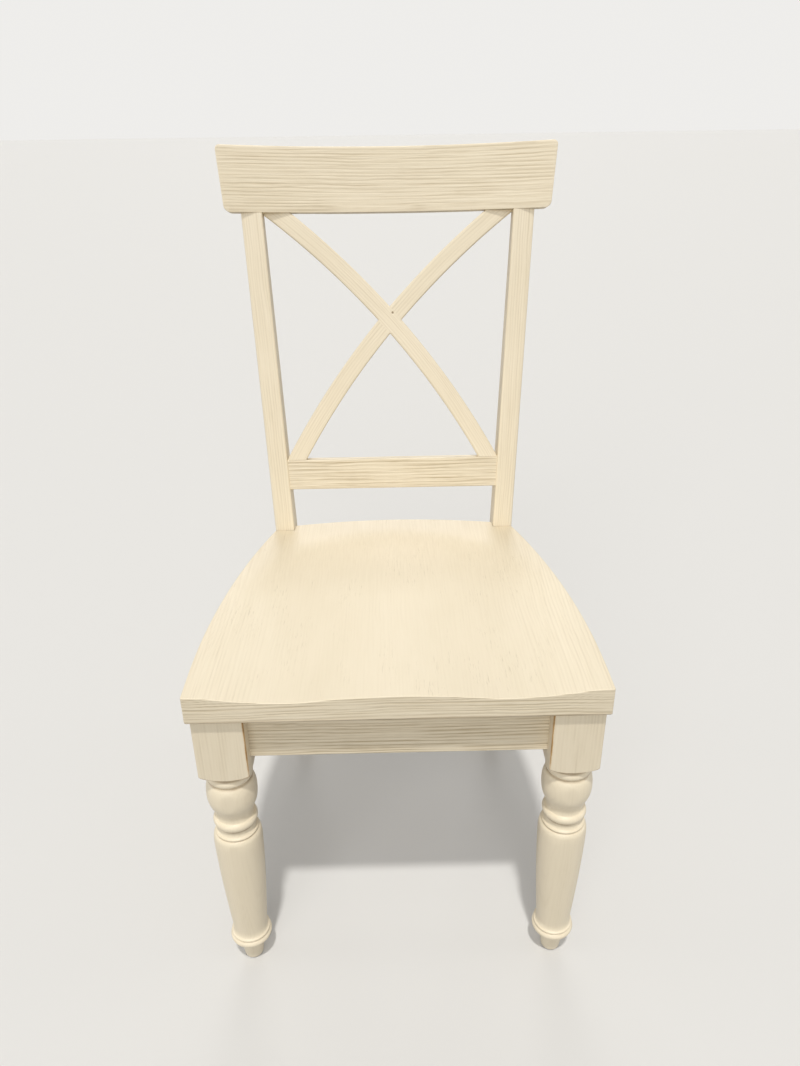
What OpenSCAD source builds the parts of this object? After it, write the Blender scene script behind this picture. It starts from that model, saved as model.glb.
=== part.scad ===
// Cross-back farmhouse side chair: dished wooden seat, turned front legs, raked and splayed rear posts,
// bowed crest rail and two curved braces half-lapped into an X. Millimetres, +Z up, the chair faces -Y.
// Origin: middle of the footprint of the whole chair, on the floor.

/* [Overall] */
// Height of the chair, floor to the top of the crest rail
chair_h = 995; // [900:1:1100]
// Height of the seat's rim above the floor
seat_h = 465; // [420:1:520]

/* [Seat] */
// Width of the seat across its front
seat_w = 475; // [430:1:560]
// Depth of the seat, front edge to the middle of its rear edge
seat_d = 434; // [380:1:520]
// Thickness of the seat at its rim
seat_t = 36; // [28:1:44]
// Straight stretch of each side, back from the front corner
seat_side_flat = 40; // [20:1:80]
// Radius of the front corners in plan
seat_corner_r = 3; // [2:0.5:20]
// Radius of the rear edge between the posts
seat_rear_r = 735; // [500:5:1500]
// Depth of the dish below the rim
dish_depth = 10; // [4:0.5:14]
// Width of the dish, rim to rim
dish_w = 438; // [340:1:450]
// Width of the dish's flat floor
dish_floor_w = 220; // [120:1:260]
// Height of the thigh ridge above the dish floor at the front edge
ridge_h = 6.6; // [2:0.1:8]
// Width of the thigh ridge at the front edge
ridge_w = 220; // [120:1:260]
// Length over which the thigh ridge fades out
ridge_l = 230; // [120:1:260]

/* [Rear posts] */
// Width across both posts' outer faces at the seat
back_w = 360; // [320:1:400]
// Width of each post, side to side
post_w = 29; // [24:0.5:36]
// Depth of each post beside the seat
post_d = 40; // [34:1:46]
// Depth of each post under the crest rail
post_top_d = 22; // [18:1:30]
// Depth of each post at the floor
post_foot_d = 30; // [24:1:36]
// Distance from the posts' front faces to the middle of the seat's rear edge
post_inset = 31.5; // [20:0.5:38]
// Lean of the back from upright, in degrees
back_rake = 11; // [6:0.5:16]
// Outward splay of each post above the seat, in degrees
back_splay = 2.8; // [0:0.1:5]
// Distance that each rear foot stands behind the post's straight part
foot_kick = 44; // [10:1:70]

/* [Crest rail] */
// Height of the crest rail along its face
crest_h = 84.5; // [60:0.5:110]
// Thickness of the crest rail
crest_t = 22; // [18:0.5:28]
// Width of the crest rail along its top edge
crest_top_w = 459; // [420:1:520]
// Width of the crest rail along its bottom edge
crest_bottom_w = 444; // [410:1:520]
// Depth of the bow in the crest rail, ends to middle
crest_bow = 34; // [10:1:45]
// Overhang of the crest rail in front of the posts
crest_lap = 2.5; // [0:0.5:5]
// Radius of the crest rail's upper corners
crest_top_r = 5; // [2:0.5:12]
// Radius of the crest rail's lower corners
crest_bottom_r = 8; // [2:0.5:12]

/* [Back rail and braces] */
// Height of the back rail along its face
rail_h = 45; // [40:1:60]
// Thickness of the back rail
rail_t = 18; // [15:0.5:20]
// Distance from the seat's rim to the top of the back rail, along the back
rail_top = 108; // [90:1:140]
// Setback of the back rail from the posts' front faces
rail_setback = 4; // [0:0.5:6]
// Width of each curved brace
brace_w = 25; // [18:0.5:32]
// Thickness of each curved brace
brace_t = 14; // [10:0.5:16]
// Radius of each brace's centre line
brace_r = 1155; // [700:5:2000]
// Distance from a post's inner face to the middle of a brace's lower end
brace_low_inset = 14; // [10:0.5:40]
// Distance from a post's inner face to the middle of a brace's upper end
brace_high_inset = 17.5; // [10:0.5:40]
// Setback of the braces from the posts' front faces at the crest rail
brace_top_setback = 11; // [6:0.5:14]

/* [Front legs] */
// Side of the square block at the top of each leg
leg_sq = 60; // [50:1:66]
// Height of the square block down to its shoulder
block_h = 92; // [84:1:110]
// Setback of the block from the seat's front edge
leg_front = 8.5; // [2:0.5:20]
// Inset of the block from the seat's side
leg_side = 3.5; // [2:0.5:20]
// Largest radius of the bulb under the block
bulb_r = 30.8; // [26:0.2:32]
// Radius of the neck between the bulb and the ring
neck_r = 23; // [18:0.2:25]
// Largest radius of the ring below the neck
ring_r = 26.8; // [24:0.2:29]
// Largest radius of the tapered shaft
shaft_r = 30.2; // [26:0.2:32]
// Radius of the shaft just above the ankle
ankle_r = 22; // [16:0.2:24]
// Radius of the ankle ring
ankle_ring_r = 27.2; // [23:0.2:29]
// Radius of the foot under the ankle ring
foot_top_r = 14.5; // [12:0.5:18]
// Radius of the foot at the floor
foot_r = 12.5; // [11.5:0.5:16]

/* [Aprons and corner blocks] */
// Height of the aprons
apron_h = 71.5; // [60:0.5:80]
// Thickness of the aprons
apron_t = 20; // [16:0.5:22]
// Setback of the front apron from the leg blocks' faces
apron_setback = 18; // [8:1:24]
// Thickness of each corner block across its diagonal
corner_t = 32; // [26:1:40]
// Gap between a corner block and the leg or post that it faces
corner_gap = 3; // [1:0.5:6]

/* [Fasteners and fits] */
// Diameter of the large dowels
dowel_d = 10; // [8:0.5:10]
// Diameter of the dowels in the crest rail and the back rail
crest_dowel_d = 8; // [6:0.5:8]
// Diameter of the brace dowels
brace_dowel_d = 6; // [5:0.5:7]
// Diameter of the hanger bolts
bolt_d = 8; // [6:1:8]
// Shank diameter of the wood screws
screw_d = 4.5; // [4:0.5:5]
// Head diameter of the wood screws
screw_head_d = 9; // [8:0.5:10]
// Diametral clearance of every dowel, bolt, screw and nail in its hole
fit = 0.2; // [0.1:0.05:0.5]
// Clearance between the seat's notches and the posts
notch_gap = 0.3; // [0.1:0.1:1]

/* [Glides] */
// Diameter of the nylon glides
glide_d = 20; // [16:1:21]
// Thickness of the nylon glides
glide_t = 1.5; // [1:0.5:4]

/* [Hidden] */
$fn = 96;

// Construction sizes that follow from the fastener sizes and common practice
dowel_depth = 16;          // how far a dowel reaches into each piece
front_dowel_pitch = 36;    // height between the two dowels at the front apron's end
rear_dowel_pitch = 44;     // the rear apron's dowels pass above and below the side apron's
side_dowel_pitch = 20;
dowel_web = 3;             // wood left between two dowels that pass in one rail
crest_dowel_pitch = 14;    // spacing of the two dowels at the top of each post
brace_dowel_depth = 12;
bolt_in_leg = 36;          // length of hanger bolt inside the leg
bolt_tail = 12;            // length of hanger bolt past the corner block
washer_d = 20;
washer_t = 1.6;
nut_af = 13;               // across flats
nut_t = 6.5;
screw_head_t = 3;
apron_screw_grip = 14;     // length of an apron screw inside the apron
seat_screw_grip = 15;      // length of a seat screw inside the seat
counterbore_depth = 24;    // depth of the seat screw's pocket in the corner block
nail_d = 2.6;
nail_l = 11;
nail_x = 4;                // the nail sits off the crossing's centre
nail_up = 10;
nail_set = 0.6;            // depth of the nail's head below the surface
glide_nail_d = 3;
glide_nail_l = 14;
bend_l = 8;                // half the height of the bend where a post leaves upright
eps = 0.01;
far = 600;                 // larger than any piece, for trimming blocks

// Where things stand, measured from the seat's front edge and the floor
under_seat = seat_h - seat_t;
apron_z = under_seat - apron_h;
post_y = seat_d - post_inset;
back_y = post_y - bend_l * tan(back_rake);
post_x = back_w / 2 - post_w / 2;
leg_x = seat_w / 2 - leg_side - leg_sq / 2;
leg_y = leg_front + leg_sq / 2;
apron_y = leg_front + apron_setback;
rear_apron_y = post_y + (post_d - apron_t) / 2;
wood_z = glide_t;          // the legs' wood stops on top of the glides

// Crest rail in the frame of the back: v runs back, w runs up the raked face from the seat's rim
crest_half = crest_top_w / 2;
crest_front_r = (pow(crest_half, 2) + pow(crest_bow, 2)) / (2 * crest_bow);
crest_post_x = post_x + tan(back_splay) * 430;
crest_mid_v = -crest_lap + arc_sag(crest_front_r, crest_post_x);
crest_lean = atan((crest_top_w - crest_bottom_w) / 2 / crest_h);
crest_high_x = crest_half - crest_top_r * tan(45 + crest_lean / 2);
crest_end_v = crest_mid_v - arc_sag(crest_front_r, crest_high_x);
crest_top_at = (chair_h - seat_h + crest_end_v * sin(back_rake)) / cos(back_rake);
crest_under = crest_top_at - crest_h;

// The braces' plane leans a little more than the posts
brace_lean = atan((brace_top_setback - rail_setback) / (crest_under - rail_top));
brace_run = (crest_under - rail_top) / cos(brace_lean);

// Each brace is an arc of brace_r from the bottom of one post to the top of the other, in the braces'
// plane: brace_low and brace_high are the ends of its centre line, brace_c is the arc's centre
brace_low = [post_inner(rail_top) - brace_low_inset, 0];
brace_high = [-(post_inner(crest_under) - brace_high_inset), brace_run];
brace_chord = brace_high - brace_low;
brace_across = [brace_chord[1], -brace_chord[0]] / norm(brace_chord);
brace_c = (brace_low + brace_high) / 2 - brace_across * sqrt(pow(brace_r, 2) - pow(norm(brace_chord) / 2, 2));
cross_up = brace_c[1] + sqrt(pow(brace_r, 2) - pow(brace_c[0], 2));

// The seat's side is an arc from the end of its straight stretch to the post's outer front edge
side_run = post_y - seat_side_flat;
side_in = (seat_w - back_w) / 2;
seat_side_r = (pow(side_run, 2) + pow(side_in, 2)) / (2 * side_in);

// Side aprons run from the middle of the leg's outer half to the middle of the post
apron_front_x = leg_x + leg_sq / 2 - 8 - apron_t / 2;
apron_run = post_y - (leg_y + leg_sq / 2);
apron_turn = (apron_front_x - post_x) / apron_run;
apron_angle = atan(apron_turn);
apron_half = apron_t / 2 / cos(apron_angle);

chair_depth = back_y + (crest_mid_v + crest_t) * cos(back_rake) + crest_top_at * sin(back_rake);

CREAM = [0.93, 0.88, 0.77];
CREAM_B = [0.90, 0.85, 0.73];
BARE = [0.78, 0.64, 0.44];
DOWEL = [0.84, 0.72, 0.52];
ZINC = [0.72, 0.73, 0.75];
NYLON = [0.25, 0.24, 0.23];

function arc_sag(r, x) = r - sqrt(r * r - x * x);
// Points of an arc about [cx, cy] from angle a0 to a1 in n steps
function arc(cx, cy, r, a0, a1, n = 12) =
    [for (i = [0:n]) [cx + r * cos(a0 + (a1 - a0) * i / n), cy + r * sin(a0 + (a1 - a0) * i / n)]];
// Points of a quadratic bend from p0 round the corner p1 to p2
function bend(p0, p1, p2, n = 8) =
    [for (i = [0:n]) let (t = i / n) (1 - t) * (1 - t) * p0 + 2 * t * (1 - t) * p1 + t * t * p2];
// The point a distance d from a towards b
function toward(a, b, d) = a + (b - a) * d / norm(b - a);
// A point of the back's frame as [y, z] from the seat's front edge and the floor
function back_point(v, w) = [
    back_y + v * cos(back_rake) + w * sin(back_rake),
    seat_h - v * sin(back_rake) + w * cos(back_rake)
];
// Half the clear width between the posts at w up the back
function post_inner(w) = post_x - post_w / 2 + tan(back_splay) * w * cos(back_rake);

module chair() {
    translate([0, -chair_depth / 2, 0]) children();
}

module back_frame() {
    translate([0, back_y, seat_h]) rotate([-back_rake, 0, 0]) children();
}

module brace_frame() {
    back_frame() translate([0, rail_setback, rail_top]) rotate([-brace_lean, 0, 0]) children();
}

module on_side(side) {
    if (side > 0) children();
    else mirror([1, 0, 0]) children();
}

module both_sides() {
    for (side = [-1, 1]) on_side(side) children();
}

// ---- Holes and what goes in them: grow adds the clearance ----

module rod_x(d, l) {
    rotate([0, 90, 0]) cylinder(d = d, h = l, center = true);
}

module rod_y(d, l) {
    rotate([90, 0, 0]) cylinder(d = d, h = l, center = true);
}

module front_apron_rods(grow = 0) {
    mid_z = apron_z + apron_h / 2;
    both_sides() for (k = [-1, 1])
        translate([leg_x - leg_sq / 2, apron_y + apron_t / 2, mid_z + k * front_dowel_pitch / 2])
            rod_x(dowel_d + grow, 2 * dowel_depth + grow);
}

module rear_apron_rods(grow = 0) {
    mid_z = apron_z + apron_h / 2;
    both_sides() for (k = [-1, 1])
        translate([post_x - post_w / 2, rear_apron_y + apron_t / 2, mid_z + k * rear_dowel_pitch / 2])
            rod_x(dowel_d + grow, 2 * dowel_depth + grow);
}

module side_apron_rods(grow = 0) {
    for (k = [-1, 1], end = [0, 1])
        translate([
            apron_front_x - apron_turn * apron_run * end,
            leg_y + leg_sq / 2 + apron_run * end,
            apron_z + apron_h / 2 + k * side_dowel_pitch / 2
        ])
            rotate([0, 0, apron_angle]) rod_y(dowel_d + grow, 2 * dowel_depth + grow);
}

// The upper of these two stays clear below the braces' dowels
module rail_rods(grow = 0) {
    upper = rail_top - brace_dowel_depth - dowel_web - crest_dowel_d / 2;
    lower = rail_top - rail_h + dowel_web + crest_dowel_d;
    both_sides() for (w = [lower, upper])
        back_frame() translate([post_inner(w), rail_setback + rail_t / 2, w])
            rod_x(crest_dowel_d + grow, 2 * dowel_depth + grow);
}

module crest_rods(grow = 0) {
    x = post_inner(crest_under) + post_w / 2;
    v = crest_mid_v - arc_sag(crest_front_r, x) + crest_t / 2;
    for (k = [-1, 1])
        back_frame() translate([x + k * crest_dowel_pitch / 2, v, crest_under])
            cylinder(d = crest_dowel_d + grow, h = 2 * dowel_depth + grow, center = true);
}

module brace_rods(grow = 0) {
    for (end = [brace_low, brace_high])
        brace_frame() translate([end[0], brace_t / 2, end[1]])
            cylinder(d = brace_dowel_d + grow, h = 2 * brace_dowel_depth + grow, center = true);
}

module nail_rod(grow = 0) {
    brace_frame() translate([nail_x, nail_set - grow * 4 + (nail_l + grow * 4) / 2, cross_up + nail_up])
        rod_y(nail_d + grow, nail_l + grow * 4);
}

// The corner block's diagonal faces: front corners lie along x - y, rear corners along x + y
corner_a = leg_x - leg_sq / 2;
corner_b = leg_y + leg_sq / 2;
front_out = corner_a - corner_b - corner_gap * sqrt(2);
front_in = front_out - corner_t * sqrt(2);
rear_out = post_x - post_w / 2 + post_y - corner_gap * sqrt(2);
rear_in = rear_out - corner_t * sqrt(2);
// The side apron's inner face: x = face_x0 - apron_turn * y
face_x0 = apron_front_x - apron_half + apron_turn * corner_b;
function face_front(c) = let (y = (face_x0 - c) / (1 + apron_turn)) [y + c, y];
function face_rear(c) = let (y = (c - face_x0) / (1 - apron_turn)) [c - y, y];
bolt_sum = corner_a + corner_b;
bolt_z = apron_z + apron_h / 2;
bolt_len = bolt_in_leg + corner_gap + corner_t + bolt_tail;
bolt_start = [corner_a + bolt_in_leg / sqrt(2), corner_b - bolt_in_leg / sqrt(2)];
nut_at = [(bolt_sum + front_in) / 2, (bolt_sum - front_in) / 2];

// Along the bolt, from inside the leg towards the middle of the chair
module bolt_frame(at) {
    translate([at[0], at[1], bolt_z]) rotate([0, 0, -45]) rotate([0, -90, 0]) children();
}

module bolt_rod(grow = 0) {
    bolt_frame(bolt_start) translate([0, 0, -grow]) cylinder(d = bolt_d + grow, h = bolt_len + grow);
}

// Screws into the aprons: [point on the apron's face, turn about Z so that +Y points into the apron, z]
function wing_screws() = let (
    front_x = front_in + apron_y + apron_t + 14,
    rear_x = rear_in - rear_apron_y + 14,
    side_f = face_front(front_in)[1] - 16,
    side_r = face_rear(rear_in)[1] + 16
) [
    [[front_x, apron_y + apron_t], 180],
    [[face_x0 - apron_turn * side_f, side_f], -90 + apron_angle],
    [[rear_x, rear_apron_y], 0],
    [[face_x0 - apron_turn * side_r, side_r], -90 + apron_angle]
];
wing_screw_l = apron_screw_grip + 10;
module wing_screw(i, grow = 0) {
    s = wing_screws()[i];
    translate([s[0][0], s[0][1], bolt_z + 6]) rotate([0, 0, s[1]]) {
        translate([0, apron_screw_grip - wing_screw_l / 2 + grow / 2, 0])
            rod_y(screw_d + grow, wing_screw_l + grow);
        head_l = grow > 0 ? counterbore_depth : screw_head_t;
        translate([0, apron_screw_grip - wing_screw_l - head_l / 2, 0]) rod_y(screw_head_d + grow, head_l);
    }
}

seat_screw_l = apron_h - 10 - counterbore_depth + seat_screw_grip;
function seat_screw_at() = [
    let (c = (front_in + front_out) / 2, y = apron_y + apron_t + 16) [c + y, y],
    let (c = (rear_in + rear_out) / 2, y = rear_apron_y - 16) [c - y, y]
];
module seat_screw(i, grow = 0) {
    s = seat_screw_at()[i];
    translate([s[0], s[1], under_seat + seat_screw_grip - seat_screw_l]) {
        cylinder(d = screw_d + grow, h = seat_screw_l + grow);
        translate([0, 0, grow > 0 ? -counterbore_depth - 1 : -screw_head_t])
            cylinder(
                d = screw_head_d + grow * 5,
                h = grow > 0 ? counterbore_depth + 1 + eps : screw_head_t + eps
            );
    }
}

// ---- Seat ----

module seat_outline() {
    half = seat_w / 2;
    a = asin(side_run / seat_side_r);
    right = concat(
        arc(half - seat_corner_r, seat_corner_r, seat_corner_r, -90, 0, 6),
        arc(half - seat_side_r, seat_side_flat, seat_side_r, 0, a, 24)
    );
    notch_x = post_x - post_w / 2 - notch_gap;
    b = asin(notch_x / seat_rear_r);
    rear = arc(0, seat_d - seat_rear_r, seat_rear_r, 90 - b, 90, 12);
    rear_stop = [[notch_x, post_y - notch_gap]];
    // the side arc ends at the post, and the corner behind it is cut away round the post
    side = [for (p = right) if (p[1] < post_y - notch_gap) p];
    end_x = half - seat_side_r + sqrt(pow(seat_side_r, 2) - pow(side_run - notch_gap, 2));
    end = [[end_x, post_y - notch_gap]];
    r = concat(side, end, rear_stop, rear);
    polygon(concat(r, [for (i = [len(r) - 2:-1:0]) [-r[i][0], r[i][1]]]));
}

module dish_half() {
    half_floor = dish_floor_w / 2;
    half = dish_w / 2;
    r = (pow(half - half_floor, 2) + pow(dish_depth, 2)) / (2 * dish_depth);
    a = asin((half - half_floor) / r);
    curve = arc(half_floor, r - dish_depth, r, -90, -90 + a, 10);
    polygon(concat([[0, 1], [0, -dish_depth]], curve, [[half + 6, 1]]));
}

module dish() {
    back = post_y - 12 - dish_w / 2;
    ridge_r = (pow(ridge_w / 2, 2) + pow(ridge_h, 2)) / (2 * ridge_h);
    slope = atan(ridge_h / ridge_l);
    translate([0, 0, seat_h]) difference() {
        union() {
            translate([0, back, 0]) rotate_extrude($fn = 180) dish_half();
            translate([0, back, 0]) rotate([90, 0, 0]) linear_extrude(height = back + 5) {
                dish_half();
                mirror([1, 0]) dish_half();
            }
        }
        translate([0, 0, -dish_depth + ridge_h]) rotate([-slope, 0, 0])
            translate([0, -20, -ridge_r]) rotate([-90, 0, 0])
                cylinder(r = ridge_r, h = ridge_l + 20, $fn = 720);
    }
}

module seat() {
    color(CREAM) chair() difference() {
        translate([0, 0, under_seat]) linear_extrude(height = seat_t) seat_outline();
        dish();
        both_sides() {
            seat_screw(0, fit);
            seat_screw(1, fit);
        }
    }
}

// ---- Back ----

module post(side) {
    foot_y = post_y + foot_kick;
    straight = [post_y, seat_h];
    back_top = back_point(post_top_d, crest_under);
    back_seat = [post_y + post_d, seat_h + bend_l];
    lower = [post_y, apron_z - 20];
    lower_back = [post_y + post_d, apron_z - 20];
    foot = [foot_y, wood_z];
    foot_back = [foot_y + post_foot_d, wood_z];
    profile = concat(
        [foot], bend(toward(lower, foot, 20), lower, lower + [0, 20]),
        bend(straight, straight + [0, bend_l], back_point(0, bend_l / cos(back_rake) * 2)),
        [back_point(0, crest_under), back_top],
        bend(toward(back_seat, back_top, 30), back_seat, back_seat - [0, 30]),
        bend(lower_back + [0, 20], lower_back, toward(lower_back, foot_back, 20)), [foot_back]
    );
    rise = back_point(0, crest_under)[1] + 20 - seat_h;
    out = rise * tan(back_splay);
    face = [
        [post_x - post_w / 2, 0], [post_x + post_w / 2, 0], [post_x + post_w / 2, seat_h],
        [post_x + post_w / 2 + out, seat_h + rise], [post_x - post_w / 2 + out, seat_h + rise],
        [post_x - post_w / 2, seat_h]
    ];
    on_side(side) difference() {
        intersection() {
            rotate([90, 0, 90]) linear_extrude(height = far) polygon(profile);
            translate([0, chair_depth + far / 2, 0]) rotate([90, 0, 0])
                linear_extrude(height = chair_depth + far) polygon(face);
        }
        crest_rods(fit);
        rail_rods(fit);
        rear_apron_rods(fit);
        side_apron_rods(fit);
        glide_nail(foot_y + post_foot_d / 2, post_x, fit);
    }
}

module crest_body() {
    wrap = asin((crest_half + 6) / crest_front_r);
    translate([0, crest_mid_v - crest_front_r, crest_under])
        rotate([0, 0, 90 - wrap]) rotate_extrude(angle = 2 * wrap, $fn = 720)
            translate([crest_front_r, 0]) square([crest_t, crest_h]);
}

module crest_face() {
    // rounded corners, each arc tangent to the slanted end and to the level edge
    low_x = crest_bottom_w / 2 - crest_bottom_r * tan(45 - crest_lean / 2);
    right = concat(
        arc(low_x, crest_bottom_r, crest_bottom_r, -90, -crest_lean, 8),
        arc(crest_high_x, crest_h - crest_top_r, crest_top_r, -crest_lean, 90, 8)
    );
    polygon(concat(right, [for (i = [len(right) - 1:-1:0]) [-right[i][0], right[i][1]]]));
}

module crest_rail() {
    color(CREAM) chair() difference() {
        back_frame() intersection() {
            crest_body();
            translate([0, 0, crest_under]) rotate([90, 0, 0])
                linear_extrude(height = far, center = true) crest_face();
        }
        both_sides() {
            crest_rods(fit);
            brace_rods(fit);
        }
    }
}

module back_rail() {
    color(CREAM_B) chair() difference() {
        intersection() {
            back_frame() translate([-back_w / 2, rail_setback, rail_top - rail_h])
                cube([back_w, rail_t, rail_h]);
            between_posts();
        }
        rail_rods(fit);
        both_sides() brace_rods(fit);
    }
}

// The space between the posts' inner faces above the seat
module between_posts() {
    x = post_x - post_w / 2;
    rise = chair_h - seat_h;
    out = rise * tan(back_splay);
    translate([0, chair_depth + far / 2, seat_h]) rotate([90, 0, 0])
        linear_extrude(height = chair_depth + far)
            polygon([[-x, 0], [x, 0], [x + out, rise], [-x - out, rise]]);
}

// A brace's whole arc in the braces' plane, from the front face back to a given depth
module brace_arc(w, front, back) {
    sweep = 2 * asin((norm(brace_chord) / 2 + 2 * brace_w) / brace_r);
    facing = atan2(-brace_chord[0], brace_chord[1]);
    translate([brace_c[0], back, brace_c[1]]) rotate([90, 0, 0]) rotate([0, 0, facing - sweep / 2])
        rotate_extrude(angle = sweep, $fn = 720) translate([brace_r - w / 2, 0]) square([w, back - front]);
}

// side 1: the brace whose top end is on the left, passing in front at the crossing
module brace(side) {
    difference() {
        intersection() {
            on_side(side) brace_frame() brace_arc(brace_w, 0, brace_t);
            back_frame() translate([-far / 2, -far / 2, rail_top]) cube([far, far, crest_under - rail_top]);
            between_posts();
        }
        // half lap: each brace gives up half its thickness where the other passes
        on_side(-side) brace_frame()
            brace_arc(brace_w + fit, side > 0 ? brace_t / 2 : -1, side > 0 ? brace_t + 1 : brace_t / 2);
        on_side(side) brace_rods(fit);
        nail_rod(fit);
    }
}

module brace_left_top() {
    color(CREAM) chair() brace(1);
}

module brace_right_top() {
    color(CREAM_B) chair() brace(-1);
}

module rear_post_left() {
    color(CREAM_B) chair() post(-1);
}

module rear_post_right() {
    color(CREAM_B) chair() post(1);
}

// ---- Front legs ----

// Heights of the turning, up from the floor, as shares of the clear height under the block
turned_h = under_seat - block_h;
function up(share) = share * turned_h;
ankle_z = up(0.113);
ankle_ring_z = up(0.131);
ankle_ring_h = up(0.018);
shaft_low_z = up(0.178);
shaft_high_z = up(0.637);
shaft_top_z = up(0.698);
ring_low_z = up(0.739);
ring_z = up(0.757);
neck_z = up(0.794);
bulb_z = up(0.893);
bulb_top_z = up(0.953);

function turning() = concat(
    // foot, with its lower arris broken
    [[0, wood_z], [foot_r - 2.5, wood_z], [foot_r - 0.7, wood_z + 0.7], [foot_r, wood_z + 2.5]],
    [[foot_top_r, ankle_z]],
    // ankle ring
    [for (a = [-90:15:75]) [
        ankle_ring_r - ankle_ring_h + ankle_ring_h * cos(a),
        ankle_ring_z + ankle_ring_h * sin(a)
    ]],
    // small step, then a hollow up into the shaft
    [[ankle_r + 2.4, ankle_ring_z + ankle_ring_h]],
    bend([ankle_r + 3, ankle_ring_z + ankle_ring_h + 0.6],
         [ankle_r, ankle_ring_z + ankle_ring_h + 2], [ankle_r, shaft_low_z], 5),
    // shaft: a slow swelling taper with a rounded shoulder
    bend([ankle_r + 0.1, shaft_low_z + 1], [shaft_r - 1.2, up(0.45)], [shaft_r, shaft_high_z], 12),
    bend([shaft_r, shaft_high_z + 1], [shaft_r - 0.4, up(0.672)], [ring_r, shaft_top_z], 6),
    // groove, small hollow and ring
    [[ring_r - 1.2, shaft_top_z + 0.8]],
    bend([ring_r - 0.2, shaft_top_z + 1.6], [neck_r + 0.6, shaft_top_z + 4], [neck_r + 0.4, ring_low_z], 5),
    [for (a = [-75:15:60]) [ring_r - 4.6 + 4.6 * cos(a), ring_z + (ring_z - ring_low_z) * sin(a)]],
    // hollow neck swelling into the bulb
    bend([ring_r - 2.6, ring_z + (ring_z - ring_low_z) * 0.95], [neck_r, ring_z + 8], [neck_r, neck_z], 5),
    bend([neck_r + 0.1, neck_z + 0.5], [bulb_r - 4.1, up(0.8175)], [bulb_r - 2, up(0.849)], 5),
    bend([bulb_r - 1.8, up(0.852)], [bulb_r + 1.7, bulb_z], [bulb_r - 1.6, up(0.937)], 8),
    // top of the bulb, groove and collar under the block
    [[bulb_r - 4, bulb_top_z], [bulb_r - 5.4, bulb_top_z + 0.8], [bulb_r - 3.6, bulb_top_z + 2],
     [bulb_r - 3.2, up(0.975)], [bulb_r - 4.2, turned_h - 1.5],
     [bulb_r - 4.2, turned_h + 20], [0, turned_h + 20]]
);

module front_leg(side) {
    on_side(side) difference() {
        translate([leg_x, leg_y, 0]) {
            rotate_extrude() polygon(turning());
            // the block's lower end is rounded by the lathe, so that its corners stop higher
            intersection() {
                translate([-leg_sq / 2, -leg_sq / 2, turned_h]) cube([leg_sq, leg_sq, block_h]);
                rotate_extrude() polygon(concat(
                    [[0, turned_h]],
                    bend([leg_sq / 2 - 1, turned_h], [leg_sq * 0.62, turned_h + 1.5],
                         [leg_sq * 0.72, turned_h + 7], 6),
                    [[leg_sq * 0.72, under_seat], [0, under_seat]]
                ));
            }
        }
        front_apron_rods(fit);
        side_apron_rods(fit);
        bolt_rod(fit);
        glide_nail(leg_y, leg_x, fit);
    }
}

module front_leg_left() {
    color(CREAM) chair() front_leg(-1);
}

module front_leg_right() {
    color(CREAM) chair() front_leg(1);
}

// ---- Aprons ----

module front_apron() {
    half = leg_x - leg_sq / 2;
    color(CREAM_B) chair() difference() {
        translate([-half, apron_y, apron_z]) cube([2 * half, apron_t, apron_h]);
        front_apron_rods(fit);
        both_sides() wing_screw(0, fit);
    }
}

module rear_apron() {
    half = post_x - post_w / 2;
    color(CREAM_B) chair() difference() {
        translate([-half, rear_apron_y, apron_z]) cube([2 * half, apron_t, apron_h]);
        rear_apron_rods(fit);
        both_sides() wing_screw(2, fit);
    }
}

module side_apron(side) {
    y0 = leg_y + leg_sq / 2;
    on_side(side) difference() {
        translate([0, 0, apron_z]) linear_extrude(height = apron_h) polygon([
            [apron_front_x - apron_half, y0], [apron_front_x + apron_half, y0],
            [post_x + apron_half, post_y], [post_x - apron_half, post_y]
        ]);
        side_apron_rods(fit);
        wing_screw(1, fit);
        wing_screw(3, fit);
    }
}

module side_apron_left() {
    color(CREAM_B) chair() side_apron(-1);
}

module side_apron_right() {
    color(CREAM_B) chair() side_apron(1);
}

module corner_front(side) {
    y = apron_y + apron_t;
    on_side(side) difference() {
        translate([0, 0, apron_z + 10]) linear_extrude(height = apron_h - 10)
            polygon([[front_in + y, y], [front_out + y, y], face_front(front_out), face_front(front_in)]);
        bolt_rod(fit);
        wing_screw(0, fit);
        wing_screw(1, fit);
        seat_screw(0, fit);
    }
}

module corner_rear(side) {
    y = rear_apron_y;
    on_side(side) difference() {
        translate([0, 0, apron_z + 10]) linear_extrude(height = apron_h - 10)
            polygon([[rear_in - y, y], [rear_out - y, y], face_rear(rear_out), face_rear(rear_in)]);
        wing_screw(2, fit);
        wing_screw(3, fit);
        seat_screw(1, fit);
    }
}

module corner_block_front_left() {
    color(BARE) chair() corner_front(-1);
}

module corner_block_front_right() {
    color(BARE) chair() corner_front(1);
}

module corner_block_rear_left() {
    color(BARE) chair() corner_rear(-1);
}

module corner_block_rear_right() {
    color(BARE) chair() corner_rear(1);
}

// ---- Dowels, bolts, screws, nail and glides ----

module crest_dowels() {
    color(DOWEL) chair() both_sides() crest_rods();
}

module brace_dowels() {
    color(DOWEL) chair() both_sides() brace_rods();
}

module back_rail_dowels() {
    color(DOWEL) chair() rail_rods();
}

module front_apron_dowels() {
    color(DOWEL) chair() front_apron_rods();
}

module rear_apron_dowels() {
    color(DOWEL) chair() rear_apron_rods();
}

module side_apron_dowels() {
    color(DOWEL) chair() both_sides() side_apron_rods();
}

module hanger_bolts() {
    color(ZINC) chair() both_sides() bolt_rod();
}

module bolt_washers() {
    color(ZINC) chair() both_sides() bolt_frame(nut_at) difference() {
        cylinder(d = washer_d, h = washer_t);
        translate([0, 0, -1]) cylinder(d = bolt_d + 2 * fit, h = washer_t + 2);
    }
}

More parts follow.
